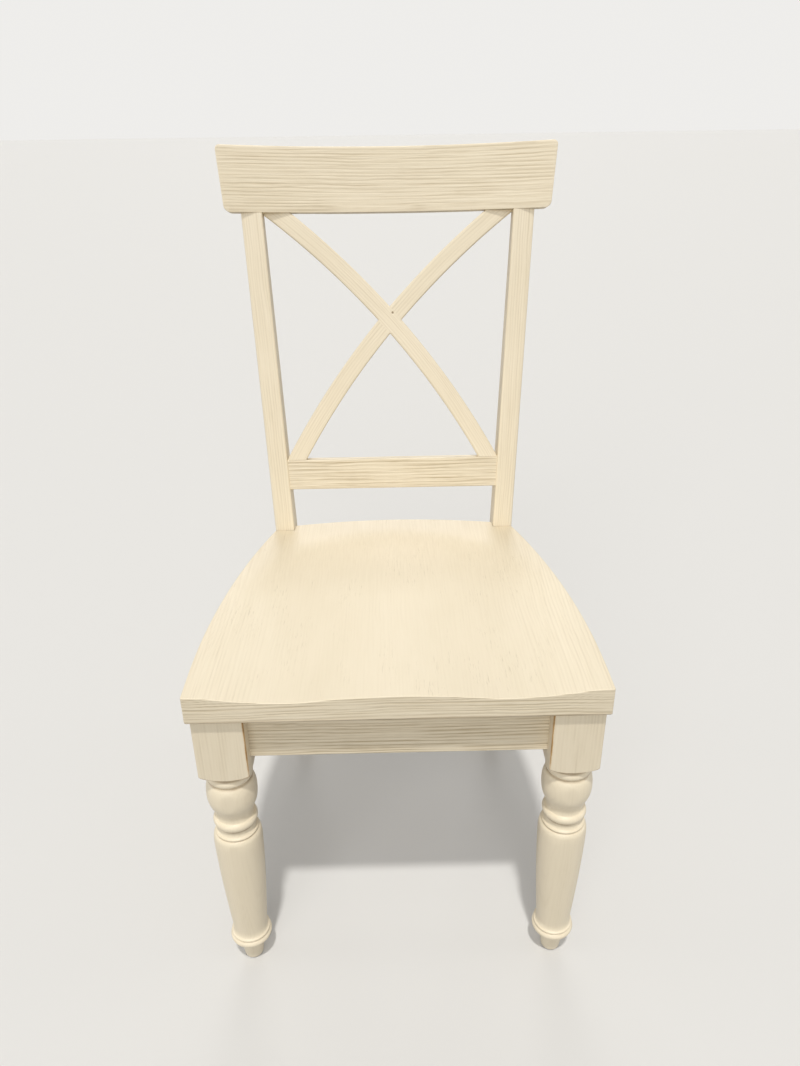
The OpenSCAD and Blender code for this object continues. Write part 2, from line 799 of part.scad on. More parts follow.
module bolt_nuts() {
    color(ZINC) chair() both_sides() bolt_frame(nut_at) translate([0, 0, washer_t]) difference() {
        cylinder(d = nut_af / cos(30), h = nut_t, $fn = 6);
        translate([0, 0, -1]) cylinder(d = bolt_d + fit, h = nut_t + 2);
    }
}

module corner_block_screws() {
    color(ZINC) chair() both_sides() for (i = [0:3]) wing_screw(i);
}

module seat_screws() {
    color(ZINC) chair() both_sides() for (i = [0:1]) seat_screw(i);
}

module cross_nail() {
    color(ZINC) chair() nail_rod();
}

module glide_nail(y, x, grow = 0) {
    translate([x, y, wood_z - eps]) cylinder(d = glide_nail_d + grow, h = glide_nail_l + grow + eps);
}

module glide(side, y, x) {
    on_side(side) {
        translate([x, y, 0]) cylinder(d1 = glide_d - 2, d2 = glide_d, h = glide_t / 2);
        translate([x, y, glide_t / 2]) cylinder(d = glide_d, h = glide_t / 2);
        glide_nail(y, x);
    }
}

module glide_front_left() {
    color(NYLON) chair() glide(-1, leg_y, leg_x);
}

module glide_front_right() {
    color(NYLON) chair() glide(1, leg_y, leg_x);
}

module glide_rear_left() {
    color(NYLON) chair() glide(-1, post_y + foot_kick + post_foot_d / 2, post_x);
}

module glide_rear_right() {
    color(NYLON) chair() glide(1, post_y + foot_kick + post_foot_d / 2, post_x);
}

seat();
crest_rail();
back_rail();
brace_left_top();
brace_right_top();
rear_post_left();
rear_post_right();
front_leg_left();
front_leg_right();
front_apron();
rear_apron();
side_apron_left();
side_apron_right();
corner_block_front_left();
corner_block_front_right();
corner_block_rear_left();
corner_block_rear_right();
crest_dowels();
brace_dowels();
back_rail_dowels();
front_apron_dowels();
rear_apron_dowels();
side_apron_dowels();
hanger_bolts();
bolt_washers();
bolt_nuts();
corner_block_screws();
seat_screws();
cross_nail();
glide_front_left();
glide_front_right();
glide_rear_left();
glide_rear_right();
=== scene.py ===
import math
import bpy
import numpy as np
from mathutils import Matrix, Vector


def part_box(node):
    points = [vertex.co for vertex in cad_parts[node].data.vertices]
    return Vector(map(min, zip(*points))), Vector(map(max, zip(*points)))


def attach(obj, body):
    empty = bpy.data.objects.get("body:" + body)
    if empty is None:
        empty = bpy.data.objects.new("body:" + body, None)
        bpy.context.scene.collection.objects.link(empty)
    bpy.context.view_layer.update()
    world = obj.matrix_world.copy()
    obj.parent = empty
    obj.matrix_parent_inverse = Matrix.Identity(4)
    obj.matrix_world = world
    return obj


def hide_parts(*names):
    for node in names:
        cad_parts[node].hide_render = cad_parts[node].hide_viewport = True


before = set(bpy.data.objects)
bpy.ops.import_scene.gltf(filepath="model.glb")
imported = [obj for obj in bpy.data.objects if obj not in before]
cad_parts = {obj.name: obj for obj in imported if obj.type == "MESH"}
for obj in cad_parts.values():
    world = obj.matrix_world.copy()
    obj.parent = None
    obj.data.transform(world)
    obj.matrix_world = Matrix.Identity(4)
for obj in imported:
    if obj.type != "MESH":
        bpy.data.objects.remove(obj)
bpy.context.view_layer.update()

# ---- Sizes ----

# Sizes below are in millimetres, with y measured back from the seat's front edge and z up from the floor.
MM = 0.001
seat_lo, seat_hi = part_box("seat")
post_lo, post_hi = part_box("rear_post_right")
crest_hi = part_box("crest_rail")[1]
apron_lo, apron_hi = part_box("front_apron")
rear_lo, rear_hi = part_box("rear_apron")
leg_lo, leg_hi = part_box("front_leg_right")
FRONT_Y = seat_lo.y


def back_from_front(y):
    """A y of the shared axes, in metres, as millimetres back from the seat's front edge."""
    return (y - FRONT_Y) / MM


SEAT_HALF = seat_hi.x / MM
SEAT_D = back_from_front(seat_hi.y)
SEAT_TOP = seat_hi.z / MM
SEAT_UNDER = seat_lo.z / MM
SEAT_T = SEAT_TOP - SEAT_UNDER
POST_Y = back_from_front(post_lo.y)
POST_INNER = post_lo.x / MM
POST_W, POST_D = 29.0, 40.0
POST_X = POST_INNER + POST_W / 2
POST_BEND = 8.0  # the posts bend back this far above the seat
FOOT_Z = post_lo.z / MM
RAKE = math.radians(11.0)
SPLAY = math.radians(2.8)
# the raked back has its own axes: x, v back and w up from where its front plane meets the seat's top
BACK_Y = POST_Y - POST_BEND * math.tan(RAKE)
CREST_UNDER = (post_hi.z / MM - SEAT_TOP) / math.cos(RAKE)
CREST_H, CREST_T = 84.5, 22.0
CREST_HALF = crest_hi.x / MM
CREST_LOW_HALF = 222.0  # half width of the crest rail at its underside
CREST_BOW = 34.0
CREST_R = (CREST_HALF ** 2 + CREST_BOW ** 2) / (2 * CREST_BOW)
CREST_MID_V = 19.79  # the middle of the crest rail's front face
RAIL_TOP = 108.0  # up the raked back
RAIL_H, RAIL_T = 45.0, 18.0
RAIL_SETBACK = 4.0  # from the posts' front faces to the rail's
APRON_Z = apron_lo.z / MM
APRON_T = 20.0
SIDE_APRON_X = 216.0  # where a side apron's middle meets the back of its leg block
LEG_HALF = 30.0
LEG_X = (leg_hi.x + leg_lo.x) / MM / 2
LEG_Y = back_from_front((leg_hi.y + leg_lo.y) / 2)
BLOCK_Z = 337.0  # underside of the front legs' square blocks

TINY = 1e-9
AT_END = 1e-6  # a point this near an end of its lattice is on the end face


# ---- Repeatable noise and wood grain ----

def hashed(ix, iy, iz, seed):
    """Random numbers from -1 to 1 at whole-number points."""
    h = (ix.astype(np.uint32) * np.uint32(0x8DA6B343)
         ^ iy.astype(np.uint32) * np.uint32(0xD8163841)
         ^ iz.astype(np.uint32) * np.uint32(0xCB1AB31F)
         ^ np.uint32(seed * 0x9E3779B1 & 0xFFFFFFFF))
    h ^= h >> np.uint32(15)
    h *= np.uint32(0x2C1B3C6D)
    h ^= h >> np.uint32(12)
    h *= np.uint32(0x297A2D39)
    h ^= h >> np.uint32(15)
    return h.astype(float) / 2 ** 31 - 1.0


def noise(x, y, z, seed):
    """Smooth noise from -1 to 1, one cell per unit."""
    cells, shares = [], []
    for value in np.broadcast_arrays(x, y, z):
        low = np.floor(value)
        t = value - low
        cells.append(low.astype(np.int64))
        shares.append(t * t * (3 - 2 * t))
    total = 0.0
    for corner in range(8):
        bits = [corner >> k & 1 for k in range(3)]
        weight = 1.0
        for bit, t in zip(bits, shares):
            weight = weight * (t if bit else 1 - t)
        total = total + weight * hashed(*[c + b for c, b in zip(cells, bits)], seed)
    return total


# how growth lines wander: by how much, and over what length along the grain and across it
WANDER = ((3.0, 190, 50), (1.0, 46, 12), (0.25, 15, 4))
LINE_WIDTH = 0.16  # half width of a groove, as a share of the lines' spacing


def grain(u, v, w, seed, spacing, wave=1.0, pith=(240.0, 60.0)):
    """Relief of wire-brushed wood, from 0 on its face to -1 in the bottoms of its grooves.

    u runs along the grain. spacing: millimetres between growth lines. wave: how much they wander.
    pith: v and w of the middle of the tree.
    """
    wander = sum(size * noise(u / along, v / across, w / across, seed + k)
                 for k, (size, along, across) in enumerate(WANDER))
    ring = (np.hypot(v - pith[0], w - pith[1]) + wave * wander) / spacing
    # the spacing varies from line to line, and each line fades in and out along its length
    ring = ring + 0.35 * noise(ring / 1.9, u / 420, 0.0, seed + 3)
    line = np.exp(-((ring - np.floor(ring) - 0.5) / LINE_WIDTH) ** 2)
    strength = np.clip(0.72 + 0.6 * noise(u / 60, ring / 1.3, 0.0, seed + 4), 0.2, 1.0)
    fibre = np.clip(noise(u / 20, v / 0.9, w / 0.9, seed + 5) - 0.25, 0.0, 1.0)
    return -np.clip(line * strength + 0.35 * fibre, 0.0, 1.0)


def double_grain(u, v, w, coarse, fine, share):
    """Two sets of lines, the fine ones a share as deep. coarse, fine: seed, spacing and, if not 1, wave."""
    return np.minimum(grain(u, v, w, *coarse), share * grain(u, v, w, *fine))


# ---- Lattices ----

# shares of an arris's radius at which lattice lines stand, so that they go round it in even turns
ARRIS_STEPS = np.array([0.0, 0.423, 0.732, 1.0])


def lines(lo, hi, pitch, round_lo=0.0, round_hi=0.0):
    """Lattice lines from lo to hi at about a pitch, closer where an arris of the given radius is rounded."""
    start = lo + round_lo * ARRIS_STEPS if round_lo else np.array([lo])
    stop = hi - round_hi * ARRIS_STEPS[::-1] if round_hi else np.array([hi])
    count = max(2, int(round((stop[0] - start[-1]) / pitch)) + 1)
    inner = np.linspace(start[-1], stop[0], count)
    return np.concatenate([start[:-1], inner, stop[1:]])


def plate(xs, ys, zs, keep=None):
    """Points and outward quads of a closed board: cells of xs by ys where keep is true, through zs."""
    cells = np.ones((len(xs) - 1, len(ys) - 1), bool) if keep is None else keep
    pad = np.pad(cells, 1)
    corners = (pad[:-1, :-1], pad[1:, :-1], pad[:-1, 1:], pad[1:, 1:])
    near = np.logical_or.reduce(corners)
    full = np.logical_and.reduce(corners)
    ends = np.zeros(len(zs), bool)
    ends[[0, -1]] = True
    skin = near[:, :, None] & (~full[:, :, None] | ends)
    index = np.full(skin.shape, -1)
    index[skin] = np.arange(skin.sum())
    i, j, k = np.nonzero(skin)
    points = np.stack([xs[i], ys[j], zs[k]], 1)
    quads = []
    a, b = np.nonzero(cells)
    for k, turn in ((-1, 1), (0, -1)):
        face = index[:, :, k]
        ring = [face[a, b], face[a + 1, b], face[a + 1, b + 1], face[a, b + 1]][::turn]
        quads.append(np.stack(ring, 1))
    for turned in (False, True):
        grid = pad.T if turned else pad
        spots = index.transpose(1, 0, 2) if turned else index
        first = grid[:-1, 1:-1]
        second = grid[1:, 1:-1]
        for before in (True, False):
            a, b = np.nonzero(first & ~second if before else second & ~first)
            low, high = spots[a, b], spots[a, b + 1]
            ring = [low[:, :-1], high[:, :-1], high[:, 1:], low[:, 1:]]
            if before == turned:
                ring = ring[::-1]
            quads.append(np.stack(ring, -1).reshape(-1, 4))
    return points, np.concatenate(quads)


def to_circle(a, b):
    """The length of (a, b), and the factor that brings a square outline to a circle there."""
    size = np.hypot(a, b)
    factor = np.maximum(np.abs(a), np.abs(b)) / np.maximum(size, TINY)
    return size, np.where(size > 0, factor, 1.0)


def round_off(p, q, half_p, half_q, r):
    """Rounds the four long arrises of a bar's section. Also says how near each point is to one, 0 to 1."""
    a = np.maximum(np.abs(p) - (half_p - r), 0.0)
    b = np.maximum(np.abs(q) - (half_q - r), 0.0)
    factor = to_circle(a, b)[1]
    arris = np.clip(np.minimum(a, b) / r, 0.0, 1.0)
    p2 = np.sign(p) * (np.minimum(np.abs(p), half_p - r) + a * factor)
    q2 = np.sign(q) * (np.minimum(np.abs(q), half_q - r) + b * factor)
    return p2, q2, arris


def round_plan(x, y, half_x, half_y, r):
    """Rounds a rectangle's corners. Also gives each point's distance in from the outline and the way out."""
    dx = np.sign(x) * np.maximum(np.abs(x) - (half_x - r), 0.0)
    dy = np.sign(y) * np.maximum(np.abs(y) - (half_y - r), 0.0)
    size, factor = to_circle(dx, dy)
    gap_x, gap_y = half_x - np.abs(x), half_y - np.abs(y)
    side = gap_x < gap_y
    out_x = np.where(size > 0, dx / np.maximum(size, TINY), np.where(side, np.sign(x), 0.0))
    out_y = np.where(size > 0, dy / np.maximum(size, TINY), np.where(side, 0.0, np.sign(y)))
    x2 = np.clip(x, -(half_x - r), half_x - r) + dx * factor
    y2 = np.clip(y, -(half_y - r), half_y - r) + dy * factor
    return x2, y2, np.minimum(gap_x, gap_y), out_x, out_y


def round_rim(x, y, z, gap, out_x, out_y, half_z, r):
    """Rounds the arrises round a board's outline. gap, out_x and out_y are those of round_plan."""
    a = np.maximum(r - gap, 0.0)
    b = np.maximum(np.abs(z) - (half_z - r), 0.0)
    factor = to_circle(a, b)[1]
    move = a - a * factor
    arris = np.clip(np.minimum(a, b) / r, 0.0, 1.0)
    z2 = np.sign(z) * (np.minimum(np.abs(z), half_z - r) + b * factor)
    return x - out_x * move, y - out_y * move, z2, arris


def soft_min(a, b, soft):
    """The smaller of two values, eased where they are within soft of each other."""
    return np.minimum(a, b) - soft * 0.25 * np.maximum(1 - np.abs(a - b) / soft, 0.0) ** 2


def normals_of(points, quads):
    """Unit normals at the points, area weighted."""
    face = np.cross(points[quads[:, 2]] - points[quads[:, 0]], points[quads[:, 3]] - points[quads[:, 1]])
    total = np.zeros_like(points)
    for axis in range(3):
        for corner in range(4):
            total[:, axis] += np.bincount(quads[:, corner], face[:, axis], len(points))
    return total / np.maximum(np.linalg.norm(total, axis=1, keepdims=True), 1e-12)


def bump_out(points, quads, amount):
    """The points moved out along their normals by an amount each."""
    return points + normals_of(points, quads) * np.asarray(amount)[:, None]


# ---- Materials ----

def srgb(r, g, b):
    """A colour written as 0 to 255 sRGB, in the linear values that nodes use."""
    out = []
    for c in (r, g, b):
        c = c / 255.0
        out.append(c / 12.92 if c <= 0.04045 else ((c + 0.055) / 1.055) ** 2.4)
    return (*out, 1.0)


class Nodes:
    """The node tree of a material or world, with short calls for the nodes used here."""

    def __init__(self, owner):
        owner.use_nodes = True
        self.owner = owner
        self.tree = owner.node_tree

    def put(self, socket, value):
        """Links a socket to another one, or sets it to a plain value."""
        if isinstance(value, bpy.types.NodeSocket):
            self.tree.links.new(value, socket)
        else:
            socket.default_value = value

    def add(self, kind, values=None, **settings):
        node = self.tree.nodes.new(kind)
        for key, value in settings.items():
            setattr(node, key, value)
        for key, value in (values or {}).items():
            self.put(node.inputs[key], value)
        return node

    def attribute(self, name, output="Fac"):
        return self.add("ShaderNodeAttribute", attribute_name=name).outputs[output]

    def object_place(self):
        return self.add("ShaderNodeTexCoord").outputs["Object"]

    def noise(self, vector, scale, detail=3.0, rough=0.55):
        values = {"Vector": vector, "Scale": scale, "Detail": detail, "Roughness": rough}
        return self.add("ShaderNodeTexNoise", values).outputs["Fac"]

    def streaks(self, vector, scales, detail=3.0, rough=0.55):
        """Noise with a scale of its own along each axis."""
        stretch = self.add("ShaderNodeVectorMath", {0: vector, 1: scales}, operation="MULTIPLY")
        return self.noise(stretch.outputs[0], 1.0, detail, rough)

    def math(self, kind, a, b):
        return self.add("ShaderNodeMath", {0: a, 1: b}, operation=kind).outputs[0]

    def times(self, a, b):
        return self.math("MULTIPLY", a, b)

    def between(self, value, low, high, to_low=0.0, to_high=1.0):
        """Goes smoothly from to_low to to_high while the value goes from low to high."""
        values = {"Value": value, "From Min": low, "From Max": high, "To Min": to_low, "To Max": to_high}
        return self.add("ShaderNodeMapRange", values, interpolation_type="SMOOTHSTEP").outputs["Result"]

    def mix(self, share, a, b):
        """The colour a where the share is 0, and b where it is 1."""
        node = self.add("ShaderNodeMix", data_type="RGBA")
        sockets = {s.identifier: s for s in node.inputs}
        for key, value in (("Factor_Float", share), ("A_Color", a), ("B_Color", b)):
            self.put(sockets[key], value)
        return next(s for s in node.outputs if s.identifier == "Result_Color")

    def bump(self, height, distance, strength, under=None):
        values = {"Height": height, "Distance": distance, "Strength": strength}
        if under is not None:
            values["Normal"] = under
        return self.add("ShaderNodeBump", values).outputs["Normal"]

    def finish(self, **values):
        """Sets the inputs of the Principled shader, and gives the material back."""
        shader = self.tree.nodes["Principled BSDF"]
        for key, value in values.items():
            self.put(shader.inputs[key.replace("_", " ")], value)
        return self.owner


def new_material(name):
    return Nodes(bpy.data.materials.new(name))


CREAM, CREAM_LIGHT = srgb(235, 222, 195), srgb(239, 226, 200)
STREAK_DARK, STREAK_PALE = srgb(214, 198, 167), srgb(245, 234, 210)
GROOVE_GLAZE_AND_SHADE_TINT = srgb(172, 152, 116)
FLECK_TINT = srgb(190, 174, 142)
GLAZE_AND_SHADE_BROWN = srgb(138, 110, 72)
RUBBED_TAN, RUBBED_BROWN = srgb(190, 152, 100), srgb(128, 94, 52)


def cream_paint():
    """Cream paint over brushed wood: grooves tinted partly by glaze and partly by painted shade, grey-tan
    flecks, tan wood where it is rubbed through.

    The fields come with the mesh. grain: place, with x along the grain. The groove field: depth in a groove,
    tinted partly with glaze and partly with painted shade, and painted shade toward the seat's rear.
    The glaze field: brown glaze, and painted shade in corners, creases and under the seat. wear: rubbing.
    brush and fleck: strength of brush marks and flecks.
    """
    n = new_material("cream_paint")
    at = n.attribute("grain", "Vector")
    fields = (n.attribute(key) for key in ("groove_glaze_and_shade", "glaze_and_shade", "wear", "brush", "fleck"))
    groove_glaze_and_shade, glaze_and_shade, wear, brush, flecked = fields
    cloud = n.streaks(at, (4.0, 9.0, 9.0), 4.0)
    streak = n.streaks(at, (13.0, 430.0, 430.0), 4.0, 0.6)
    fibre = n.streaks(at, (45.0, 1500.0, 1500.0), 3.0, 0.6)
    fleck = n.streaks(at, (48.0, 620.0, 620.0), 3.0, 0.6)
    patch = n.streaks(at, (9.0, 20.0, 20.0))
    grit = n.noise(at, 1600.0, 2.0)
    paint = n.mix(n.between(cloud, 0.3, 0.7), CREAM, CREAM_LIGHT)
    # brush marks, darker and paler than the coat
    paint = n.mix(n.times(n.between(streak, 0.45, 0.75, 0.0, 0.28), brush), paint, STREAK_DARK)
    paint = n.mix(n.times(n.between(streak, 0.5, 0.3, 0.0, 0.4), brush), paint, STREAK_PALE)
    # groove tint, partly glaze and partly painted shade; flecks in patches; brown glaze and painted shade in
    # corners, creases and under the seat
    shade = n.times(n.between(streak, 0.3, 0.7, 0.7, 1.0), groove_glaze_and_shade)
    paint = n.mix(n.times(shade, 0.75), paint, GROOVE_GLAZE_AND_SHADE_TINT)
    spots = n.times(n.between(fleck, 0.56, 0.74), n.between(patch, 0.47, 0.63))
    paint = n.mix(n.times(spots, flecked), paint, FLECK_TINT)
    paint = n.mix(n.times(glaze_and_shade, n.between(streak, 0.25, 0.7, 0.75, 1.0)), paint, GLAZE_AND_SHADE_BROWN)
    # light rubbing shows tan, and heavy rubbing brown
    rub = n.times(wear, n.between(fibre, 0.3, 0.65, 0.6, 1.3))
    rub = n.times(rub, n.between(grit, 0.3, 0.7, 0.85, 1.15))
    paint = n.mix(n.between(rub, 0.18, 0.5), paint, RUBBED_TAN)
    paint = n.mix(n.between(rub, 0.7, 1.05), paint, RUBBED_BROWN)
    relief = n.bump(n.times(streak, brush), 0.0005, 0.5)
    relief = n.bump(n.times(fibre, brush), 0.00022, 0.5, relief)
    relief = n.bump(grit, 0.00005, 0.4, relief)
    rough = n.math("ADD", n.between(streak, 0.3, 0.7, 0.36, 0.42), n.times(brush, 0.1))
    rough = n.math("ADD", rough, n.times(wear, 0.2))
    return n.finish(Base_Color=paint, Roughness=rough, Normal=relief)


def bare_wood(name, light, dark, along):
    """Sanded wood with growth lines along one axis."""
    n = new_material(name)
    at = n.object_place()
    scale = [260.0, 260.0, 260.0]
    scale[along] = 9.0
    bands = n.streaks(at, tuple(scale), 4.0, 0.6)
    pores = n.streaks(at, tuple(s * 4.0 for s in scale))
    cloud = n.noise(at, 22.0)
    wood = n.mix(n.between(bands, 0.35, 0.68), light, dark)
    wood = n.mix(n.between(cloud, 0.35, 0.7, 0.0, 0.3), wood, srgb(205, 176, 128))
    wood = n.mix(n.between(pores, 0.6, 0.75, 0.0, 0.5), wood, srgb(140, 104, 62))
    relief = n.bump(pores, 0.0003, 0.4, n.bump(bands, 0.0005, 0.3))
    rough = n.between(bands, 0.3, 0.7, 0.62, 0.75)
    return n.finish(Base_Color=wood, Roughness=rough, Normal=relief)


def plated(name, light, dark, rough_low, rough_high):
    """Steel with faint scratches and dull patches."""
    n = new_material(name)
    at = n.object_place()
    cloud = n.noise(at, 180.0, 4.0)
    scratch = n.streaks(at, (300.0, 2400.0, 900.0), 2.0)
    metal = n.mix(n.between(cloud, 0.35, 0.65), light, dark)
    rough = n.between(cloud, 0.3, 0.7, rough_low, rough_high)
    relief = n.bump(scratch, 0.0001, 0.35)
    return n.finish(Base_Color=metal, Metallic=0.9, Roughness=rough, Normal=relief)


def nylon():
    """Moulded dark nylon, dusty and scuffed."""
    n = new_material("glide_nylon")
    at = n.object_place()
    dust = n.noise(at, 140.0, 4.0)
    grit = n.noise(at, 1800.0, 2.0)
    plastic = n.mix(n.between(dust, 0.4, 0.7), srgb(74, 68, 62), srgb(112, 104, 94))
    rough = n.between(dust, 0.3, 0.7, 0.45, 0.65)
    return n.finish(Base_Color=plastic, Roughness=rough, Normal=n.bump(grit, 0.00008, 0.4))


PAINT = cream_paint()


# ---- Making a piece ----

def make(node, points, quads, coords, groove_glaze_and_shade, wear, glaze_and_shade=0.0, brush=1.0, fleck=0.12, caps=()):
    """Makes the mesh piece that stands for one CAD node, with the fields that the paint reads."""
    name = node + "_painted"
    mesh = bpy.data.meshes.new(name)
    places = points * MM + np.array([0.0, FRONT_Y, 0.0])
    mesh.from_pydata(places.tolist(), [], quads.tolist() + list(caps))
    mesh.polygons.foreach_set("use_smooth", np.ones(len(mesh.polygons), bool))
    mesh.set_sharp_from_angle(angle=math.radians(42.0))
    spot = mesh.attributes.new("grain", "FLOAT_VECTOR", "POINT")
    spot.data.foreach_set("vector", (np.stack(coords, 1) * MM).astype(np.float32).ravel())
    fields = {"groove_glaze_and_shade": groove_glaze_and_shade, "wear": wear, "glaze_and_shade": glaze_and_shade, "brush": brush, "fleck": fleck}
    for key, values in fields.items():
        layer = mesh.attributes.new(key, "FLOAT", "POINT")
        layer.data.foreach_set("value", np.broadcast_to(values, len(points)).astype(np.float32))
    mesh.materials.append(PAINT)
    mesh.validate()
    piece = bpy.data.objects.new(name, mesh)
    bpy.context.scene.collection.objects.link(piece)
    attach(piece, "root")
    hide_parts(node)


def rubbed(u, v, w, arris, seed, strength=0.22):
    """Light, broken wear on the arrises."""
    broken = np.clip(noise(u / 35, v / 12, w / 12, seed + 40) * 1.4 - 0.25, 0.0, 1.0)
    return arris * broken * strength


def shade_under_seat(z):
    """Mask of painted shade under the seat: 1 where a part meets the seat's underside, falling to 0 a few
    millimetres down.
    """
    return np.exp(-((SEAT_UNDER - z) / 2.0) ** 2)


def back_frame(x, v, w):
    """From the raked back's own x, v back and w up, to the shared axes."""
    y = BACK_Y + v * math.cos(RAKE) + w * math.sin(RAKE)
    z = SEAT_TOP - v * math.sin(RAKE) + w * math.cos(RAKE)
    return np.stack([x, y, z], 1)


def post_inner(w):
    """Half the distance between the posts, at w up the raked back."""
    return POST_INNER + math.tan(SPLAY) * math.cos(RAKE) * w


# ---- Seat ----

def dish_depth(x, y):
    """How far the seat's top is below its rim. A round bowl runs out to the front over a low ridge."""
    rim, floor, depth = 219.0, 110.0, 10.0
    rim_to_posts = 12.0
    centre_y = POST_Y - rim_to_posts - rim
    reach = np.hypot(x, np.maximum(y - centre_y, 0.0))
    r = ((rim - floor) ** 2 + depth ** 2) / (2 * depth)
    inward = np.clip(reach - floor, 0.0, rim - floor)
    bowl = depth - (r - np.sqrt(r * r - inward * inward))
    # the bowl's rim is eased over this distance each way
    ease = 16.0
    slope = (rim - floor) / (r - depth)
    bowl = bowl + slope * np.clip(ease - np.abs(rim - reach), 0.0, ease) ** 2 / (4 * ease)
    # the front rises by front_rise over front_run, and is a little higher in the middle
    front_rise, front_run, ridge_r = 6.6, 230.0, 920.0
    ridge = depth - front_rise * (1 - y / front_run) + x * x / (2 * ridge_r)
    return soft_min(bowl, ridge, 1.6)


def seat():
    edge_r, corner_r = 1.7, 2.6
    post_gap = 0.3
    straight_y = 40.0  # the sides are straight up to here, and then draw in
    rear_half = 180.0  # half width of the seat at the posts
    rear_r = 735.0
    notch = POST_INNER - post_gap
    notch_y = POST_Y - post_gap
    draw = SEAT_HALF - rear_half
    side_r = ((POST_Y - straight_y) ** 2 + draw ** 2) / (2 * draw)
    narrow = (SEAT_HALF - side_r + math.sqrt(side_r ** 2 - (notch_y - straight_y) ** 2)) / SEAT_HALF
    lane = notch / narrow  # the notches' sides in the lattice, before it is narrowed
    xs = lines(-SEAT_HALF, SEAT_HALF, 1.32, corner_r, corner_r)
    for edge in (-lane, lane):
        xs[np.argmin(np.abs(xs - edge))] = edge
    ys = np.concatenate([lines(0.0, notch_y, 6.0, corner_r), lines(notch_y, SEAT_D, 5.0, 0.0, edge_r)[1:]])
    zs = lines(-SEAT_T / 2, SEAT_T / 2, 1.15, edge_r, edge_r)
    mid_x, mid_y = (xs[:-1] + xs[1:]) / 2, (ys[:-1] + ys[1:]) / 2
    keep = (mid_y[None, :] < notch_y) | (np.abs(mid_x)[:, None] < lane)
    points, quads = plate(xs, ys, zs, keep)
    x, y, z = points.T
    # the two front corners in plan; the rear of this rectangle is far away
    long, far = 2 * SEAT_D, 1e3
    px, py, gap, out_x, out_y = round_plan(x, y - long / 2, SEAT_HALF, long / 2, corner_r)
    py = py + long / 2
    gap = np.where((y > notch_y) & (SEAT_HALF - np.abs(x) > 2 * corner_r), far, gap)
    rear_gap = np.where(np.abs(x) <= lane, SEAT_D - y, far)
    rear = rear_gap < gap
    gap = np.where(rear, rear_gap, gap)
    out_x = np.where(rear, 0.0, out_x)
    out_y = np.where(rear, 1.0, out_y)
    px, py, pz, arris = round_rim(px, py, z, gap, out_x, out_y, SEAT_T / 2, edge_r)
    # sides draw in on an arc, the rear edge bows out between the posts
    run = np.clip(py - straight_y, 0.0, notch_y - straight_y)
    half = SEAT_HALF - side_r + np.sqrt(side_r ** 2 - run ** 2)
    px = px * half / SEAT_HALF
    bow = SEAT_D - (rear_r - np.sqrt(rear_r ** 2 - np.clip(px, -notch, notch) ** 2))
    behind = np.maximum(py - notch_y, 0.0)
    py = np.where(py > notch_y, notch_y + behind * (bow - notch_y) / (SEAT_D - notch_y), py)
    top = SEAT_T - dish_depth(px, py)
    pz = SEAT_UNDER + (pz + SEAT_T / 2) * top / SEAT_T
    points = np.stack([px, py, pz], 1)
    normal = normals_of(points, quads)
    # grooves run across the front and rear edges, along the flanks, and from front to back on top
    front = np.abs(normal[:, 1]) > 0.7
    flank = np.abs(normal[:, 0]) > 0.7
    level = np.abs(normal[:, 2]) > 0.6
    u = np.where(front, px, py)
    v = np.where(front | flank, pz, px)
    w = np.where(front, py, np.where(flank, x, pz))
    cut = grain(u, v, w, 12, 4.4, 1.3, (900.0, 400.0))
    cut = np.where(front, grain(u, v, w, 11, 4.0, 1.2, (240.0, 20.0)), cut)
    cut = np.where(flank, grain(u, v, w, 15, 2.7, 0.9, (240.0, 20.0)), cut)
    # the top is nearly smooth in the middle, and its grooves come up toward the sides
    side = np.clip((np.abs(px + 12.0) - 110.0) / 90.0, 0.0, 1.0)
    faint = 0.06 + 0.22 * side * side + 0.1 * np.clip(noise(px / 45, py / 90, 0.0, 14), 0.0, 1.0)
    strength = np.where(level, faint, 1.0)
    deep = np.where(level, 0.13, 0.42)
    points = points + normal * (cut * strength * deep * (1 - 0.5 * arris))[:, None]
    wear = rubbed(u, v, w, arris, 13)
    brush = np.where(level, 0.22 + 0.3 * side, 1.0)
    # painted shade: the front's lower arris, where it curves under the seat, is darkened brown
    glaze_and_shade = 0.9 * np.exp(-((pz - SEAT_UNDER) / 1.7) ** 2) * (normal[:, 1] < -0.4)
    fleck = np.where(level, 0.5, 0.0)
    # painted shade: the top is a little darker toward its rear
    groove_glaze_and_shade = -cut * strength + level * 0.36 * np.clip((py - 220.0) / 170.0, 0.0, 1.0)
    make("seat", points, quads, (u, v, w), groove_glaze_and_shade, wear, glaze_and_shade, brush, fleck)


# ---- Crest rail ----

